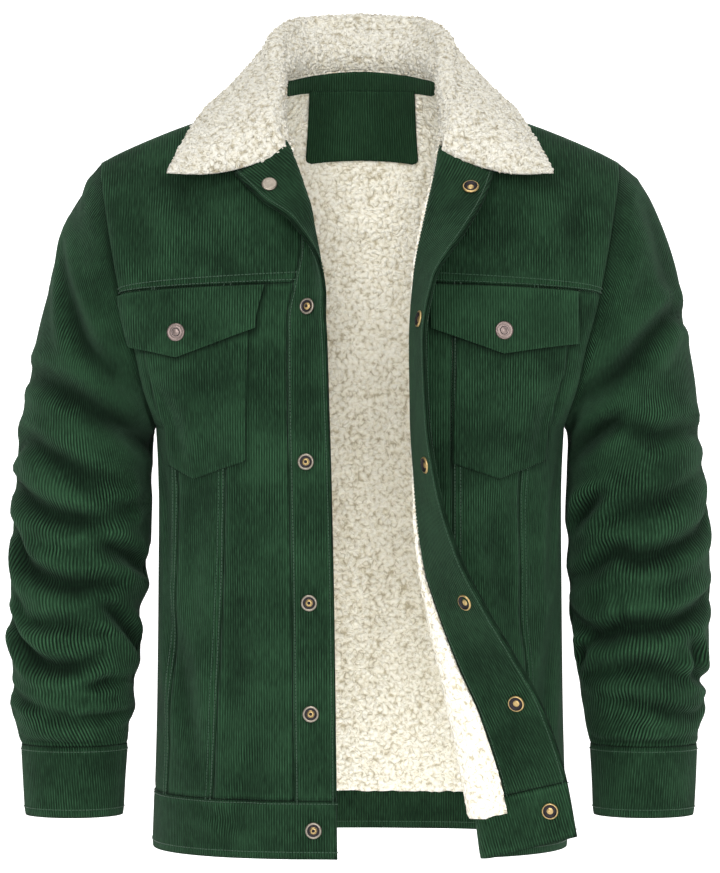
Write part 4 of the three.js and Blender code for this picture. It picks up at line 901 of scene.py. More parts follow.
def corduroy(name, wale, stand):
    """Ribbed cotton: ribs along the cloth's length, with a brushed nap that catches the light unevenly."""
    shader = Shader(name, Roughness=0.95, Specular_IOR_Level=0.1, Sheen_Weight=0.08, Sheen_Roughness=0.4)
    shader.main.inputs["Sheen Tint"].default_value = (0.4, 0.75, 0.5, 1)
    uv = shader.node("ShaderNodeUVMap", {"uv_map": "UVMap"})
    place = shader.node("ShaderNodeTexCoord", output="Object")
    stretched = shader.node("ShaderNodeMapping", {}, {"Vector": uv, "Scale": (1.0, 0.12, 1.0)})
    across = shader.node("ShaderNodeSeparateXYZ", {}, {"Vector": uv}, output="X")
    wander = shader.noise(place, 22.0, 2.0)
    phase = across * (2 * np.pi / (wale * MM)) + wander * 2.4
    wave = phase.math("SINE") * 0.5 + 0.5
    rib = wave**1.1
    streaks = shader.noise(stretched, 900.0, 3.0, 0.6)
    patches = shader.noise(place, 20.0, 5.0, 0.62)
    crushed = shader.noise(place, 33.0, 3.0, 0.6)
    specks = shader.noise(place, 1500.0, 1.0)
    fold = shader.attribute("fold")
    edge = shader.attribute("edge")
    nap = (patches * 2.4 + streaks * 2.9 - 2.2).limited(0.0, 1.0)
    body = shader.mix(nap, GREEN_MID, GREEN_LIGHT)
    clear = (crushed * 2.6 - 0.7).limited(0.25, 1.0) * stand  # where the ribs stand up and aren't crushed
    ribbed = shader.mix((rib - 0.5) * clear + 0.5, GREEN_DARK, body)
    # Painted highlight: lighter on the folds' crests, beside seams and along free edges such as a flap's
    painted_highlight = (fold * 0.055).limited(0.0, 0.4) + (edge * -0.35).limited(0.0, 0.3)
    raised = shader.mix(painted_highlight * (rib * 0.7 + 0.3), ribbed, GREEN_LIGHT)
    # Painted shade: darker in the folds' troughs, in the painted shadows and along the seams
    painted_shade = (fold * -0.085).limited(0.0, 0.72) + (edge * 1.7 - 0.9).limited(0.0, 0.75)
    shader.to("Base Color", shader.mix(painted_shade.limited(0.0, 0.85), raised, GREEN_DARK))
    height = rib * 0.9 + streaks * 0.4 + specks * 0.15
    shader.bump(height, 0.8, 0.0008)
    return shader.material


def sherpa(name, painted_brightness):
    """Curled pile: soft cream lumps a few millimetres wide, with short wandering gaps between them."""
    shader = Shader(name, Roughness=0.95, Specular_IOR_Level=0.1, Sheen_Weight=0.25, Sheen_Roughness=0.6)
    place = shader.node("ShaderNodeTexCoord", output="Object")
    curl = shader.noise(place, 205.0, 1.0, 0.5, 0.35)
    cells = {"Vector": place, "Scale": 225.0, "Smoothness": 0.35}
    clump = shader.node("ShaderNodeTexVoronoi", {"feature": "SMOOTH_F1"}, cells, output="Distance")
    gap = ((curl - 0.5).math("ABSOLUTE") * 8.0).math("MINIMUM", 1.0) ** 0.8
    fibres = shader.noise(place, 900.0, 2.0)
    patches = shader.noise(place, 34.0, 3.0)
    lift = gap * 0.36 - clump * 1.1 + fibres * 0.2 + 0.82
    # The colour follows the pile's height: painted shade in the gaps between clumps, painted highlight on
    # their tops
    stops = [(0.1, CREAM_DARK), (0.5, CREAM), (0.85, CREAM_LIGHT)]
    # Each copy's colours are scaled by its painted brightness
    stops = [(at, tuple(c * painted_brightness for c in colour)) for at, colour in stops]
    shader.to("Base Color", shader.ramp(lift + patches * 0.24 - 0.12, stops))
    shader.bump(lift, 0.85, 0.0026)
    return shader.material


def metal(name, colour, roughness):
    """Plated metal with fine scratches and tarnish."""
    shader = Shader(name, Metallic=1.0)
    place = shader.node("ShaderNodeTexCoord", output="Object")
    tarnish = shader.noise(place, 900.0, 3.0, 0.6)
    dark = tuple(c * 0.45 for c in colour)
    shader.to("Base Color", shader.mix(tarnish * 0.8, colour, dark))
    shader.to("Roughness", tarnish * 0.25 + roughness)
    shader.bump(tarnish, 0.2, 0.0001)
    return shader.material


def thread(name):
    shader = Shader(name, Roughness=0.7, Specular_IOR_Level=0.3, Sheen_Weight=0.2)
    place = shader.node("ShaderNodeTexCoord", output="Object")
    tone = shader.noise(place, 700.0, 1.0)
    shader.to("Base Color", shader.mix(tone, (0.009, 0.034, 0.016), (0.024, 0.072, 0.036)))
    return shader.material


class Geometry:
    """A geometry node tree whose inputs are set by the sockets' identifiers."""

    def __init__(self, name, inputs):
        self.tree = bpy.data.node_groups.new(name, "GeometryNodeTree")
        interface = self.tree.interface
        interface.new_socket("Geometry", in_out="INPUT", socket_type="NodeSocketGeometry")
        self.named = {}
        for label, (kind, value) in inputs.items():
            socket = interface.new_socket(label, in_out="INPUT", socket_type=kind)
            if value is not None:
                socket.default_value = value
            self.named[label] = socket.identifier
        interface.new_socket("Geometry", in_out="OUTPUT", socket_type="NodeSocketGeometry")
        self.source = self.tree.nodes.new("NodeGroupInput")
        self.result = self.tree.nodes.new("NodeGroupOutput")

    def input(self, label):
        return self.source.outputs[label]

    def node(self, kind, settings=None, inputs=None):
        made = self.tree.nodes.new(kind)
        for label, value in (settings or {}).items():
            setattr(made, label, value)
        for label, value in (inputs or {}).items():
            if isinstance(value, bpy.types.NodeSocket):
                self.tree.links.new(value, made.inputs[label])
            else:
                made.inputs[label].default_value = value
        return made

    def first(self, kind, settings, inputs):
        return self.node(kind, settings, inputs).outputs[0]

    def math(self, operation, a, b):
        return self.first("ShaderNodeMath", {"operation": operation}, {0: a, 1: b})

    def attribute(self, name):
        made = self.node("GeometryNodeInputNamedAttribute", {"data_type": "FLOAT"}, {"Name": name})
        return made.outputs["Attribute"]

    def finish(self, geometry, material):
        realized = self.first("GeometryNodeRealizeInstances", {}, {"Geometry": geometry})
        inputs = {"Geometry": realized, "Material": material}
        made = self.node("GeometryNodeSetMaterial", {}, inputs)
        self.tree.links.new(made.outputs[0], self.result.inputs[0])

    def apply(self, piece, **values):
        """Runs the tree on an object and returns the plain result as a new mesh."""
        modifier = piece.modifiers.new("shape", "NODES")
        modifier.node_group = self.tree
        for label, value in values.items():
            modifier[self.named[label.replace("_", " ")]] = value
        graph = bpy.context.evaluated_depsgraph_get()
        mesh = bpy.data.meshes.new_from_object(piece.evaluated_get(graph), depsgraph=graph)
        piece.modifiers.remove(modifier)
        return mesh


def pile_tree():
    """Lifts a wall's piled face into soft uneven clumps."""
    g = Geometry(
        "sherpa_pile",
        {
            "Lift": ("NodeSocketFloat", PILE_LIFT),
            "Scale": ("NodeSocketFloat", 120.0),
            "Material": ("NodeSocketMaterial", None),
        },
    )
    place = g.node("GeometryNodeInputPosition").outputs[0]
    normal = g.node("GeometryNodeInputNormal").outputs[0]
    piled = g.attribute("pile")
    cells = {"Vector": place, "Scale": g.input("Scale"), "Smoothness": 0.5}
    clump = g.node("ShaderNodeTexVoronoi", {"feature": "SMOOTH_F1"}, cells).outputs["Distance"]
    grain = g.node("ShaderNodeTexNoise", {}, {"Vector": place, "Scale": 300.0, "Detail": 1.0}).outputs[0]
    both = g.math("ADD", g.math("SUBTRACT", 0.3, clump), grain)
    masked = g.math("MULTIPLY", g.math("MULTIPLY", both, g.input("Lift")), piled)
    offset = g.first("ShaderNodeVectorMath", {"operation": "SCALE"}, {0: normal, "Scale": masked})
    inputs = {"Geometry": g.input("Geometry"), "Offset": offset}
    lifted = g.first("GeometryNodeSetPosition", {}, inputs)
    g.finish(lifted, g.input("Material"))
    return g


def tuft_tree():
    """Sets small rounded curls over a wall's piled face, turned and sized at random."""
    g = Geometry(
        "sherpa_tufts",
        {
            "Spacing": ("NodeSocketFloat", 0.0042),
            "Size": ("NodeSocketFloat", 1.0),
            "Seed": ("NodeSocketInt", 3),
            "Material": ("NodeSocketMaterial", None),
        },
    )
    piled = g.attribute("pile")
    selected = g.node("FunctionNodeCompare", {"data_type": "FLOAT"}, {0: piled, 1: 0.6}).outputs[0]
    points = g.node(
        "GeometryNodeDistributePointsOnFaces",
        {"distribute_method": "POISSON"},
        {
            "Mesh": g.input("Geometry"), "Selection": selected, "Distance Min": g.input("Spacing"),
            "Density Max": 160000.0, "Seed": g.input("Seed"),
        },
    )
    sphere = {"Segments": 6, "Rings": 4, "Radius": 0.0011}
    ball = g.node("GeometryNodeMeshUVSphere", {}, sphere).outputs["Mesh"]
    rounded = g.node("GeometryNodeSetShadeSmooth", {}, {"Geometry": ball}).outputs[0]
    flat = g.node("GeometryNodeTransform", {}, {"Geometry": rounded, "Scale": (2.1, 1.25, 1.0)}).outputs[0]
    spin = g.node(
        "FunctionNodeRandomValue", {"data_type": "FLOAT_VECTOR"},
        {0: (-0.35, -0.35, 0.0), 1: (0.35, 0.35, 6.28), "Seed": g.input("Seed")},
    ).outputs[0]
    turned = g.node(
        "FunctionNodeRotateRotation", {"rotation_space": "LOCAL"},
        {"Rotation": points.outputs["Rotation"], "Rotate By": spin},
    ).outputs[0]
    size = g.node(
        "FunctionNodeRandomValue", {"data_type": "FLOAT"}, {2: 0.75, 3: 1.2, "Seed": g.input("Seed")}
    ).outputs[1]
    sized = g.math("MULTIPLY", size, g.input("Size"))
    tufts = g.node(
        "GeometryNodeInstanceOnPoints", {},
        {"Points": points.outputs["Points"], "Instance": flat, "Rotation": turned, "Scale": sized},
    ).outputs[0]
    g.finish(tufts, g.input("Material"))
    return g


def stitch_tree():
    """Sets a short thread at even steps along curves."""
    g = Geometry(
        "stitches",
        {
            "Pitch": ("NodeSocketFloat", 0.0032),
            "Length": ("NodeSocketFloat", 0.0023),
            "Thickness": ("NodeSocketFloat", 0.0004),
            "Material": ("NodeSocketMaterial", None),
        },
    )
    curve = g.node("GeometryNodeMeshToCurve", {}, {"Mesh": g.input("Geometry")}).outputs[0]
    points = g.node(
        "GeometryNodeCurveToPoints", {"mode": "LENGTH"}, {"Curve": curve, "Length": g.input("Pitch")}
    )
    stitch = g.node(
        "GeometryNodeMeshCylinder", {"fill_type": "NGON"},
        {"Vertices": 5, "Side Segments": 1, "Radius": g.input("Thickness"), "Depth": g.input("Length")},
    ).outputs["Mesh"]
    placed_stitches = g.node(
        "GeometryNodeInstanceOnPoints", {},
        {"Points": points.outputs["Points"], "Instance": stitch, "Rotation": points.outputs["Rotation"]},
    ).outputs[0]
    g.finish(placed_stitches, g.input("Material"))
    return g


MATERIALS = {
    "corduroy": corduroy("green_corduroy", WALE, 0.85),
    "sleeve": corduroy("sleeve_corduroy", SLEEVE_WALE, 1.25),
    # One cream pile in two copies: the lining's painted lighter and the collar's painted darker, to even out
    # the light each gets
    "sherpa": sherpa("lining_sherpa_painted_lighter", 1.06),
    "collar": sherpa("collar_sherpa_painted_darker", 0.69),
    "thread": thread("green_thread"),
    "rim": metal("antique_silver", (0.33, 0.29, 0.24), 0.3),
    "recess": metal("dark_recess", (0.045, 0.04, 0.045), 0.45),
    "brass": metal("worn_brass", (0.56, 0.40, 0.18), 0.27),
    "button": metal("rose_silver", (0.25, 0.195, 0.18), 0.33),
}
PILE, TUFTS, STITCH = pile_tree(), tuft_tree(), stitch_tree()

# The body and sleeves as fine grids
BODY_CELL = 4.0
AROUND, SLEEVE_ROWS, CUFF_ROWS = 124, 168, 18
BACK_COLUMNS = 132
FRONT_CELLS = {"r": [10, 6, 12, 16, 26], "l": [10, 6, 10, 18, 28]}
fronts = {side: make_front(side, BODY_CELL, FRONT_CELLS[side]) for side in "rl"}
back = make_back(BODY_CELL, BACK_COLUMNS)
sleeves, cuffs = {}, {}
for side in "rl":
    ends = (fronts[side], back, AROUND, SLEEVE_ROWS, CUFF_ROWS)
    sleeves[side], cuffs[side] = make_sleeve(side, *ends)


def kept_at_seams(depth, both):
    """Lets folds die out towards the shoulder and side seams, where a front and the back meet the sleeves."""
    rows, columns = (np.arange(count, dtype=float) for count in depth.shape)
    across = smooth((columns[-1] - columns) / 5) * (smooth(columns / 5) if both else 1.0)
    return depth * across * smooth((rows[-1] - rows) / 4)[:, None]


for side in "rl":
    fronts[side].folded(kept_at_seams(crease_depth(fronts[side], FRONT_CREASES[side]), False))
    depth = crease_depth(sleeves[side], SLEEVE_CREASES[side])
    rows = np.arange(len(depth))[:, None]
    depth *= smooth(rows / 9) * smooth((len(depth) - 1 - rows) / 3)
    sleeves[side].folded(depth)
back.folded(kept_at_seams(crease_depth(back, BACK_CREASES), True))


POCKETS = {
    "r": {
        "flap": [(64, -183), (202, -183), (203, -227), (138, -246), (66, -222)],
        "bag": [(70, -187), (172, -187), (164, -345), (131, -358), (77, -342)],
    },
    "l": {
        "flap": [(70, -183), (205, -183), (205, -231), (136, -244), (71, -223)],
        "bag": [(96, -187), (200, -187), (187, -341), (134, -358), (90, -344)],
    },
}


def outline_shade(m, z, corners, width, depth):
    """A painted shadow along a patch's sides and lower edge, in the units of a fold's depth."""
    best = np.full(np.broadcast(m, z).shape, 1e9)
    line = [*corners[1:], corners[0]]
    for (ma, za), (mb, zb) in zip(line, line[1:]):
        rm, rz = mb - ma, zb - za
        t = np.clip(((m - ma) * rm + (z - za) * rz) / (rm * rm + rz * rz), 0, 1)
        best = np.minimum(best, np.hypot(m - ma - t * rm, z - za - t * rz))
    return -depth * np.exp(-((best / width) ** 2))


# Painted shadows round each pocket on its front, and painted shade at each sleeve head
for side in "rl":
    front = fronts[side]
    rows = front.marks[YOKE] + 1
    m = front.distances[:rows]
    z = np.array([row_height(level, 1.0) for level in front.levels[:rows]])[:, None]
    for label, shadow in POCKET_SHADOWS.items():
        front.fold[:rows] += outline_shade(m, z, POCKETS[side][label], *shadow)
    reach, depth = SLEEVE_HEAD_SHADOW
    sleeves[side].fold -= depth * np.exp(-((sleeves[side].v / reach) ** 2))


def block(grid, rows, cols, *more):
    """Which cells of a grid belong to a panel: blocks from row to row and column to column."""
    shape = (grid.points.shape[0] - 1, grid.points.shape[1] - (0 if grid.wrap else 1))
    filled = np.zeros(shape, bool)
    for (j0, j1), (i0, i1) in ((rows, cols), *more):
        filled[j0:j1, i0:i1] = True
    return filled


def all_cells(grid):
    return np.ones((grid.points.shape[0] - 1, grid.points.shape[1] - 1), bool)


def corduroy_piece(name, grid, filled, layer, rests_on, **extra):
    mesh = wall_mesh(name, grid, filled, layer, **extra)
    material = MATERIALS["sleeve" if name.startswith("sleeve") else "corduroy"]
    piece = add_piece(name + "_cloth", mesh, material, "corduroy", name)


def sherpa_piece(name, grid, filled, layer, piled, lift=PILE_LIFT, tufted=False):
    """A piled wall; piled is 0 where its outer face carries the pile and 1 where its inner face does."""
    mesh = wall_mesh(name, grid, filled, layer, dips=(0.9, 0.3))
    inside = np.zeros(len(mesh.vertices), np.float32)
    mesh.attributes["inside"].data.foreach_get("value", inside)
    set_attribute(mesh, "pile", inside == piled)
    material = MATERIALS["collar" if tufted else "sherpa"]
    flat_piece = new_object(name + "_base", mesh)
    made = PILE.apply(flat_piece, Lift=lift * (1 + piled), Material=material)
    bpy.data.objects.remove(flat_piece)
    piece = add_piece(name + "_pile", made, None, "sherpa", name)
    if tufted:
        curls = TUFTS.apply(piece, Seed=11, Material=material)
        add_piece(name + "_curls", curls, None, "sherpa")


for side in "rl":
    front = fronts[side]
    m = front.marks
    _, placket, facing, centre, middle, last = front.ends
    shoulder = ((m[NECK], m[TOP]), (facing, last))
    lower, edge = (m[WAIST], m[YOKE]), (m[WAIST], m[NECK])
    panels = (
        ("waistband", (0, m[WAIST]), (0, last), BAND),
        ("placket", edge, (0, placket), PLACKET),
        ("front_centre", lower, (placket, centre), SHELL),
        ("front_middle", lower, (centre, middle), SHELL),
        ("front_side", lower, (middle, last), SHELL),
    )
    for name, rows, columns, layer in panels:
        corduroy_piece(f"{name}_{side}", front, block(front, rows, columns), layer, "neck_hold")
    yoke = block(front, (m[YOKE], m[NECK]), (placket, last), shoulder)
    corduroy_piece(f"front_yoke_{side}", front, yoke, SHELL, "neck_hold")
    inner = block(front, edge, (0, facing))
    # The facing gets painted shade, darker than the shell
    corduroy_piece(f"facing_{side}", front, inner, FACING, "neck_hold", shade=FACING_PAINTED_SHADE)
    sleeve, cuff = sleeves[side], cuffs[side]
    yoke_cloth = f"front_yoke_{side}_cloth"
    for label, columns in (("front", (0, AROUND // 2)), ("back", (AROUND // 2, AROUND))):
        panel = block(sleeve, (0, len(sleeve.points) - 1), columns)
        # The sleeves get painted shade, a little darker than the body
        corduroy_piece(f"sleeve_{label}_{side}", sleeve, panel, SHELL, yoke_cloth, shade=SLEEVE_PAINTED_SHADE)
    ring = block(cuff, (0, len(cuff.points) - 1), (0, AROUND))
    corduroy_piece(f"cuff_{side}", cuff, ring, BAND, f"sleeve_front_{side}_cloth")
    lining = block(front, (m[FOOT], m[NECK]), (facing, last), shoulder)
    sherpa_piece(f"lining_front_{side}", front, lining, SHERPA, 1)

m = back.marks
whole = (0, BACK_COLUMNS)
corduroy_piece("waistband_back", back, block(back, (0, m[WAIST]), whole), BAND, "neck_hold")
corduroy_piece("back", back, block(back, (m[WAIST], m[YOKE]), whole), SHELL, "neck_hold")
corduroy_piece("back_yoke", back, block(back, (m[YOKE], m[TOP]), whole), SHELL, "neck_hold")
sherpa_piece("lining_back", back, block(back, (m[FOOT], m[TOP]), whole), SHERPA, 1)

# The collar: where it turns over (r) and ends (e), by share of the neck from the back's middle to the front
COLLAR = table(
    "at rx ry rz ex ey ez bulge dip jut face",
    [
        (0, 0, 85, 84, 0, 113, 6, 4, 0, 0, 1), (0.28, 57, 72, 79, 86, 90, -2, 3, 0, 0, 1),
        (0.56, 80, 14, 52, 133, 20, -7, 2, 0, 0, 1), (0.68, 80, -8, 32, 142, -9, -13, 3, 0, 0, 1),
        (0.8, 80, -34, 12, 157, -46, -39, 4, 2, 5, 0.85), (0.92, 79, -58, -17, 168, -83, -65, 2, 9, 10, 0.6),
        (1, 73, -69, -50, 173, -104, -80, -9, 6, 7, 0.7),
    ],
)
COLLAR_ROLL = 10.0
COLLAR_COLUMNS, COLLAR_ROWS, COLLAR_ENDS = 200, 96, 4


def make_collar(columns, rows):
    """The collar as a grid: columns round the neck from right to left, rows from its foot to its edge."""
    right, left = fronts["r"], fronts["l"]
    n = right.marks[NECK]
    parts = [right.points[n:, right.ends[2]], back.points[-1, back.neck[0] + 1:back.neck[1]]]
    parts.append(left.points[n:, left.ends[2]][::-1])
    ways = [right.normals[n:, right.ends[2]], back.normals[-1, back.neck[0] + 1:back.neck[1]]]
    ways.append(left.normals[n:, left.ends[2]][::-1])
    line, way = np.concatenate(parts), np.concatenate(ways)
    lengths = lengths_of(line)
    middle = np.interp(0, line[len(parts[0]):-len(parts[2]), 0], lengths[len(parts[0]):-len(parts[2])])
    wanted = np.linspace(0, lengths[-1], columns)
    seam, way = at_lengths(line, lengths, wanted), at_lengths(way, lengths, wanted)
    for _ in range(60):
        for values in (seam, way):
            values[1:-1] = values[1:-1] / 2 + (values[:-2] + values[2:]) / 4
    way /= np.linalg.norm(way, axis=1, keepdims=True)
    end = np.cross(np.gradient(seam, axis=0), way)
    end /= np.linalg.norm(end, axis=1, keepdims=True)
    is_right = wanted < middle
    share = np.where(is_right, (middle - wanted) / middle, (wanted - middle) / (lengths[-1] - middle))
    sign = np.where(is_right, -1.0, 1.0)
    read = {name: monotone(COLLAR["at"], COLLAR[name])(share) for name in COLLAR if name != "at"}
    shift = np.where(is_right, NECK_END["r"][0] - NECK_END["l"][0], 0.0) * share**6
    roll = np.stack([sign * (read["rx"] + shift), read["ry"], read["rz"]], -1)
    tip = np.stack([sign * read["ex"], read["ey"], read["ez"]], -1)
    away = (tip - roll) * (1, 1, 0)
    away /= np.linalg.norm(away, axis=1, keepdims=True)
    away = lerp(np.array([0.0, -1.0, 0.0]), away, read["face"][:, None])
    away /= np.linalg.norm(away, axis=1, keepdims=True)
    r = (COLLAR_ROLL * (1 - 0.55 * smooth((share - 0.84) / 0.16)))[:, None]

    def step(across, up):
        return roll + away * across + up * np.array([0.0, 0.0, 1.0])

    clear = np.stack([0 * share, -read["jut"], -read["dip"]], -1)
    foot = seam + end * COLLAR_FOOT_RISE - way * COLLAR_FOOT_DEPTH
    stand_top = step(-r, -r * 1.1)
    bend = foot + end * (0.45 * np.linalg.norm(stand_top - foot, axis=1, keepdims=True))
    down = step(r * 1.05, -r * 1.1) + clear

    def stand(t):
        return lerp(lerp(foot, bend, t), lerp(bend, stand_top, t), t)

    def fall(t):
        lift = read["bulge"] * np.sin(np.pi * t)
        return lerp(down, tip, t) + np.stack([0 * share, 0 * share, lift], -1)

    section = [foot, stand(0.3), stand(0.65), stand(1.0), step(-r * 0.7, -r * 0.3), roll]
    section += [step(r * 0.7, -r * 0.3) + clear * 0.35, down, fall(0.33), fall(0.66), tip]
    section = np.stack(section)
    index = np.arange(len(section), dtype=float)
    flat = section.reshape(len(section), -1)
    slope = np.gradient(flat, axis=0)
    spine = lengths_of(section[:, columns // 2])
    at = np.interp(np.linspace(0, 1, rows), spine / spine[-1], index)
    i = np.clip(at.astype(int), 0, len(section) - 2)
    s = (at - i)[:, None]
    fine = flat[i] * (1 + 2 * s) * (1 - s) ** 2 + slope[i] * s * (1 - s) ** 2
    fine += flat[i + 1] * s * s * (3 - 2 * s) + slope[i + 1] * s * s * (s - 1)
    points = fine.reshape(rows, columns, 3)
    normals = grid_normals(points, 1)
    u = np.repeat(wanted[None], rows, 0)
    v = np.repeat(lengths_of(points[:, columns // 2])[:, None], columns, 1)
    return Grid(points, normals, u, v)


collar = make_collar(COLLAR_COLUMNS, COLLAR_ROWS)
collar_cells = all_cells(collar)
sherpa_piece("collar", collar, collar_cells, COLLAR_SHERPA, 0, COLLAR_LIFT, True)
collar_cells[:, :COLLAR_ENDS] = False
collar_cells[:, -COLLAR_ENDS:] = False
corduroy_piece("under_collar", collar, collar_cells, UNDER_COLLAR, "collar_pile")


def on_front(front, m, z):
    """Points, directions and cloth coordinates of a front at cloth distances m and row heights z."""
    lower = front.marks[YOKE] + 1
    heights = np.array([row_height(level, 1.0) for level in front.levels[:lower]])
    row = np.interp(z, heights, np.arange(lower))
    j = np.clip(row.astype(int), 0, lower - 2)
    t = (row - j)[..., None]
    result = []
    for source in (front.points, front.smooth_normals, front.u[..., None]):
        values = np.zeros((*np.shape(m), source.shape[-1]))
        flat_m, flat_j, flat_t = np.ravel(m), np.ravel(j), np.ravel(t)
        out = values.reshape(-1, source.shape[-1])
        for k, (mk, jk, tk) in enumerate(zip(flat_m, flat_j, flat_t)):
            marks = lerp(front.distances[jk], front.distances[jk + 1], tk)
            i = int(np.clip(np.searchsorted(marks, mk) - 1, 0, len(marks) - 2))
            s = (mk - marks[i]) / (marks[i + 1] - marks[i])
            a = lerp(source[jk, i], source[jk, i + 1], s)
            b = lerp(source[jk + 1, i], source[jk + 1, i + 1], s)
            out[k] = lerp(a, b, tk)
        result.append(values)
    points, normals, u = result
    normals /= np.linalg.norm(normals, axis=-1, keepdims=True)
    return points, normals, u[..., 0]


def pocket_grid(front, corners, cell, puff, lift):
    """A five-cornered patch on a front: top left, top right, lower right, point, lower left."""
    (m0, top), (m1, _), (m1b, low1), (mp, point), (m0b, low0) = corners
    across, down = round((m1 - m0) / cell), round((top - point) / cell)
    s, t = np.meshgrid(np.linspace(0, 1, across + 1), np.linspace(0, 1, down + 1)[::-1])
    peak = (mp - m0b) / (m1b - m0b)
    bottom = np.where(s < peak, lerp(low0, point, s / peak), lerp(point, low1, (s - peak) / (1 - peak)))
    mm = lerp(lerp(m0, m0b, t), lerp(m1, m1b, t), s)
    mm = np.minimum(mm, front.distances[front.marks[YOKE] - 2][-1] - 0.5)
    zz = lerp(top, bottom, t)
    points, normals, u = on_front(front, mm, zz)
    raised = puff * np.sin(np.pi * s) ** 0.6 * np.sin(np.pi * np.clip(t, 0, 1)) ** 0.8 + lift * t**2
    grid = Grid(points + normals * raised[..., None], normals, u, zz)
    grid.smooth_normals, grid.cloth = normals, mm
    return grid


for side in "rl":
    front = fronts[side]
    bag = pocket_grid(front, POCKETS[side]["bag"], BAG_CELL, BAG_PUFF, 0.0)
    flap = pocket_grid(front, POCKETS[side]["flap"], FLAP_CELL, FLAP_PUFF, FLAP_LIFT)
    # Painted shadow of the flap on the bag
    bag.fold += outline_shade(bag.cloth, bag.v, POCKETS[side]["flap"], *UNDER_FLAP_SHADOW)
    carrier = f"front_centre_{side}_cloth"
    # Painted light on the left flap; painted shade round the bag's edge and a painted highlight along the
    # flap's edge
    shade = FLAP_PAINTED_LIGHT if side == "l" else 0.0
    looks = {"dips": (0.5, 0.1)}
    corduroy_piece(f"pocket_{side}", bag, all_cells(bag), POCKET_BAG, carrier, rims=(1.0, -0.3), **looks)
    looks.update(rims=(-0.7, 0.0), shade=shade)
    corduroy_piece(f"pocket_flap_{side}", flap, all_cells(flap), POCKET_FLAP, carrier, **looks)


def on_back(x, z):
    """Points, directions and cloth coordinates of the back at x and the height of its row at the middle."""
    heights = back.points[:, back.points.shape[1] // 2, 2]
    row = np.interp(z, heights, np.arange(len(heights)))
    points, normals = np.zeros((*x.shape, 3)), np.zeros((*x.shape, 3))
    for place in np.ndindex(x.shape):
        j = int(np.clip(row[place], 0, len(heights) - 2))
        t = row[place] - j
        line = lerp(back.points[j], back.points[j + 1], t)
        ways = lerp(back.smooth_normals[j], back.smooth_normals[j + 1], t)
        for target, source in ((points, line), (normals, ways)):
            target[place] = [np.interp(x[place], line[:, 0], source[:, k]) for k in range(3)]
    return points, normals / np.linalg.norm(normals, axis=-1, keepdims=True)


def neck_piece(name, outline, level, layer, middle=0.0):
    """A strip or patch in the back neck: rows of (half width, height), its sides raised by level."""
    widths = np.array([row[0] for row in outline], float)
    heights = np.array([row[1] for row in outline], float)
    down = max(6, round((heights[-1] - heights[0]) / 2.5))
    s, t = np.meshgrid(np.linspace(-1, 1, 44), np.linspace(heights[0], heights[-1], down + 1))
    x = s * np.interp(t, heights, widths) + middle
    points, normals = on_back(x, t + level * (x / widths.max()) ** 2)
    grid = Grid(points, normals, x, t)
    grid.smooth_normals = normals
    # Painted shade along the edges and painted light over the whole piece
    looks = {"dips": (0.3, 0.1), "rims": (0.8, 0.0), "shade": NECK_PAINTED_LIGHT}
    corduroy_piece(name, grid, all_cells(grid), layer, "lining_back_pile", **looks)


STRIP_OUTLINE = [(22, 14), (48, 18.5), (76, 24), (77, 33)]
PATCH_OUTLINE = [(49, -54), (53, -52.5), (55.5, -50), (56, -46), (56, 16)]
neck_piece("neck_strip", STRIP_OUTLINE, 0.0, NECK_STRIP)
neck_piece("neck_patch", PATCH_OUTLINE, 7.0, NECK_PATCH, middle=2.0)


def disc_frame(node):
    """Middle of a turned disc's base and its axis, from the solid."""
    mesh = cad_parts[node].data
    points = np.array([v.co for v in mesh.vertices]) / MM
    points = np.unique(points.round(3), axis=0)
    middle = points.mean(0)
    _, _, axes = np.linalg.svd(points - middle)
    axis = axes[2]
    height = (points - middle) @ axis
    reach = np.linalg.norm(points - middle - height[:, None] * axis, axis=1)
    wide, narrow = height[reach > reach.max() * 0.95].mean(), height[reach < reach.max() * 0.9].mean()
    if wide > narrow:
        axis, height = -axis, -height
    return middle + axis * height.min(), axis


# Turned outlines: radius, height, and the metal from there inwards
OUTLINES = {
    "stud": [
        (7.4, 0.0, "rim"), (7.5, 0.7, "rim"), (7.1, 1.5, "rim"), (6.3, 1.9, "rim"), (5.5, 1.6, "rim"),
        (5.1, 0.9, "recess"), (3.3, 0.7, "recess"), (2.9, 1.2, "brass"), (2.4, 1.95, "brass"),
        (1.5, 2.1, "brass"),
        (1.0, 1.8, "recess"), (0.5, 1.3, "recess"),
    ],
    "socket": [
        (7.4, 0.0, "brass"), (7.5, 0.8, "brass"), (7.0, 1.7, "brass"), (6.2, 2.0, "brass"),
        (5.7, 1.5, "recess"),
        (5.2, 0.6, "recess"), (2.9, 0.5, "recess"), (2.3, 1.0, "brass"), (1.5, 1.35, "brass"),
        (0.6, 0.9, "brass"),
    ],
    "cap": [
        (7.0, 0.0, "rim"), (7.1, 0.6, "rim"), (6.4, 1.2, "rim"), (5.0, 1.35, "rim"), (4.4, 1.15, "rim"),
        (3.6, 1.3, "rim"), (1.8, 1.4, "rim"),
    ],
    "button": [
        (8.2, 0.0, "button"), (8.3, 0.8, "button"), (7.7, 1.7, "button"), (6.8, 2.0, "button"),
        (6.2, 1.6, "button"),
        (5.4, 1.5, "button"), (4.7, 1.9, "button"), (3.8, 1.75, "button"), (3.2, 1.4, "recess"),
        (2.4, 1.6, "button"),
        (1.2, 2.1, "button"),
    ],
}
DISC_SIDES = 36


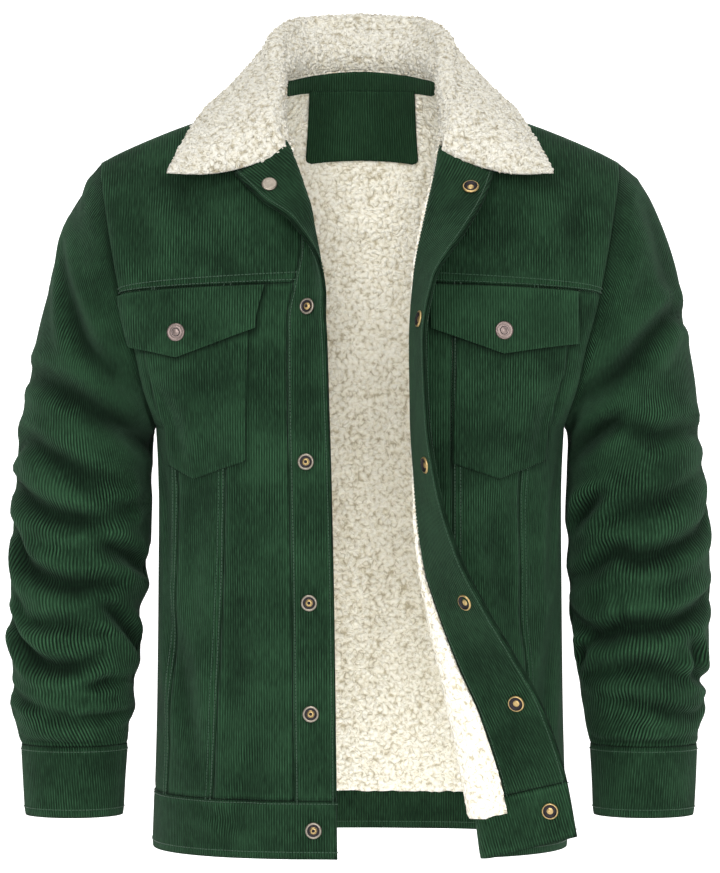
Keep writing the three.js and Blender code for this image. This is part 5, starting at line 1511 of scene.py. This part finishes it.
def add_disc(node, outline):
    base, axis = disc_frame(node)
    side = np.cross(axis, (0, 0, 1.0))
    side /= np.linalg.norm(side)
    up = np.cross(side, axis)
    turn = np.linspace(0, 2 * np.pi, DISC_SIDES, endpoint=False)
    around = np.cos(turn)[:, None] * side + np.sin(turn)[:, None] * up
    rings = [base + axis * height + around * radius for radius, height, _ in outline]
    top = base + axis * outline[-1][1]
    vertices = np.concatenate([[base], *rings, [top]])
    faces, metals = [], []
    names = sorted({row[2] for row in outline})
    for k in range(DISC_SIDES):
        after = (k + 1) % DISC_SIDES
        faces.append([0, 1 + after, 1 + k])
        metals.append(names.index(outline[0][2]))
        for ring in range(len(outline) - 1):
            a, b = 1 + ring * DISC_SIDES, 1 + (ring + 1) * DISC_SIDES
            faces.append([a + k, a + after, b + after, b + k])
            metals.append(names.index(outline[ring + 1][2]))
        a = 1 + (len(outline) - 1) * DISC_SIDES
        faces.append([a + k, a + after, len(vertices) - 1])
        metals.append(names.index(outline[-1][2]))
    mesh = bpy.data.meshes.new(node)
    mesh.from_pydata((vertices * MM).tolist(), [], faces)
    for name in names:
        mesh.materials.append(MATERIALS[name])
    mesh.polygons.foreach_set("material_index", metals)
    mesh.polygons.foreach_set("use_smooth", np.ones(len(faces), bool))
    add_piece(node + "_metal", mesh, None, "snap", node)


for node in sorted(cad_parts):
    if node.startswith(("snap_", "flap_button")):
        kind = node.split("_")[1]
        add_disc(node, OUTLINES["cap" if kind == "post" else kind])


def line_object(name, lines):
    """Edges along lines of points in millimetres, for stitches to follow."""
    vertices = np.concatenate(lines)
    edges, start = [], 0
    for line in lines:
        edges += [(start + k, start + k + 1) for k in range(len(line) - 1)]
        start += len(line)
    mesh = bpy.data.meshes.new(name)
    mesh.from_pydata((vertices * MM).tolist(), edges, [])
    return new_object(name, mesh)


def along_grid(grid, offset, rows=None, cols=None):
    """A line on a grid's face along one column or one row, which may be fractions."""
    normals = getattr(grid, "smooth_normals", grid.normals)
    raised = grid.points + normals * offset
    if isinstance(cols, tuple):
        j = int(rows)
        line = lerp(raised[j], raised[min(j + 1, len(raised) - 1)], rows - j)
        return line[cols[0]:cols[1] + 1]
    i = int(cols)
    line = lerp(raised[:, i], raised[:, min(i + 1, raised.shape[1] - 1)], cols - i)
    return line[rows[0]:rows[1] + 1]


stitch_lines = []
for side in "rl":
    front = fronts[side]
    m = front.marks
    _, placket, facing, centre, middle, last = front.ends
    neck_rows = (m[WAIST], m[NECK])
    body_rows = (m[WAIST], m[YOKE])
    stitch_lines += [along_grid(front, PLACKET[0] + SEW, neck_rows, c) for c in (0.8, placket - 0.7)]
    stitch_lines += [along_grid(front, SHELL[0] + SEW, body_rows, c) for c in (centre + 0.6, middle + 0.6)]
    stitch_lines += [along_grid(front, SHELL[0] + SEW, body_rows, c) for c in (centre + 2.0, middle + 2.0)]
    stitch_lines += [along_grid(front, SHELL[0] + SEW, m[YOKE] + d, (placket, last)) for d in (0.6, 2.2)]
    stitch_lines += [along_grid(front, BAND[0] + SEW, row, (0, last)) for row in (1.6, m[WAIST] - 0.6)]
    stitch_lines += [along_grid(front, FACING[1] - SEW, neck_rows, c) for c in (1.0, facing - 0.8)]
    wrapped = cuffs[side]
    for row in (1.2, len(wrapped.points) - 3.0):
        line = along_grid(wrapped, BAND[0] + SEW, row, (0, AROUND - 1))
        stitch_lines.append(np.concatenate([line, line[:1]]))
m = back.marks
stitch_lines += [along_grid(back, BAND[0] + SEW, row, (0, BACK_COLUMNS)) for row in (1.6, m[WAIST] - 0.6)]
stitch_lines.append(along_grid(back, BAND[1] - SEW, 1.6, (0, BACK_COLUMNS)))
path = line_object("stitch_path", stitch_lines)
stitches = STITCH.apply(path, Material=MATERIALS["thread"])
bpy.data.objects.remove(path)
add_piece("stitching", stitches, None, "corduroy")

# The studio: a pale floor that sweeps up behind the jacket, soft light from above and both sides
FLOOR_Z, SWEEP_Y, SWEEP_RADIUS, WALL_TOP, FLOOR_REACH = -1.45, 6.5, 2.0, 9.0, 30.0


def add_studio():
    turn = np.linspace(0, np.pi / 2, 13)
    bend = [(SWEEP_Y + SWEEP_RADIUS * np.sin(a), FLOOR_Z + SWEEP_RADIUS * (1 - np.cos(a))) for a in turn]
    section = [(-FLOOR_REACH, FLOOR_Z), *bend, (SWEEP_Y + SWEEP_RADIUS, WALL_TOP)]
    vertices = [(x, y, z) for x in (-FLOOR_REACH, FLOOR_REACH) for y, z in section]
    count = len(section)
    faces = [(k, k + 1, count + k + 1, count + k) for k in range(count - 1)]
    mesh = bpy.data.meshes.new("studio_sweep")
    mesh.from_pydata(vertices, [], faces)
    mesh.polygons.foreach_set("use_smooth", np.ones(len(faces), bool))
    shader = Shader("studio_white", Roughness=0.9, Emission_Strength=0.7)
    shader.main.inputs["Base Color"].default_value = (0.9, 0.9, 0.9, 1)
    shader.main.inputs["Emission Color"].default_value = (1, 1, 1, 1)
    mesh.materials.append(shader.material)
    new_object("studio_sweep", mesh)


def add_light(name, place, target, width, height, power):
    light = bpy.data.lights.new(name, "AREA")
    light.shape, light.size, light.size_y, light.energy = "RECTANGLE", width, height, power
    lamp = new_object(name, light)
    lamp.location = place
    lamp.rotation_euler = (Vector(target) - Vector(place)).to_track_quat("-Z", "Y").to_euler()
    lamp.visible_camera = False


add_studio()
MIDDLE = (0, 0, -0.33)
add_light("key", (-0.8, -2.6, 1.4), MIDDLE, 0.9, 0.9, 38)
add_light("fill", (1.9, -2.3, 0.6), MIDDLE, 1.4, 1.4, 10)
add_light("front", (0.2, -3.4, 0.2), MIDDLE, 1.0, 1.0, 42)
add_light("top", (0, -0.6, 2.1), MIDDLE, 1.6, 1.0, 16)
add_light("behind", (0.4, 1.9, 1.1), MIDDLE, 1.8, 1.2, 8)
world = bpy.data.worlds.new("studio")
world.use_nodes = True
world.node_tree.nodes["Background"].inputs["Color"].default_value = (1, 1, 1, 1)
world.node_tree.nodes["Background"].inputs["Strength"].default_value = 0.5
bpy.context.scene.world = world
bpy.context.scene.view_settings.view_transform = "Standard"

# The camera: level with the jacket's middle and 3 m away. The frame's height holds 812 mm of the
# jacket's middle plane.
CAMERA_DISTANCE, CAMERA_HEIGHT, VIEW_HEIGHT, SENSOR = 3.0, -0.3195, 0.8119, 36.0
camera = new_object("camera", bpy.data.cameras.new("camera"))
camera.data.sensor_width = SENSOR
camera.data.lens = SENSOR * CAMERA_DISTANCE / VIEW_HEIGHT
camera.location = (0, -CAMERA_DISTANCE, CAMERA_HEIGHT)
camera.rotation_euler = (np.pi / 2, 0, 0)
bpy.context.scene.camera = camera
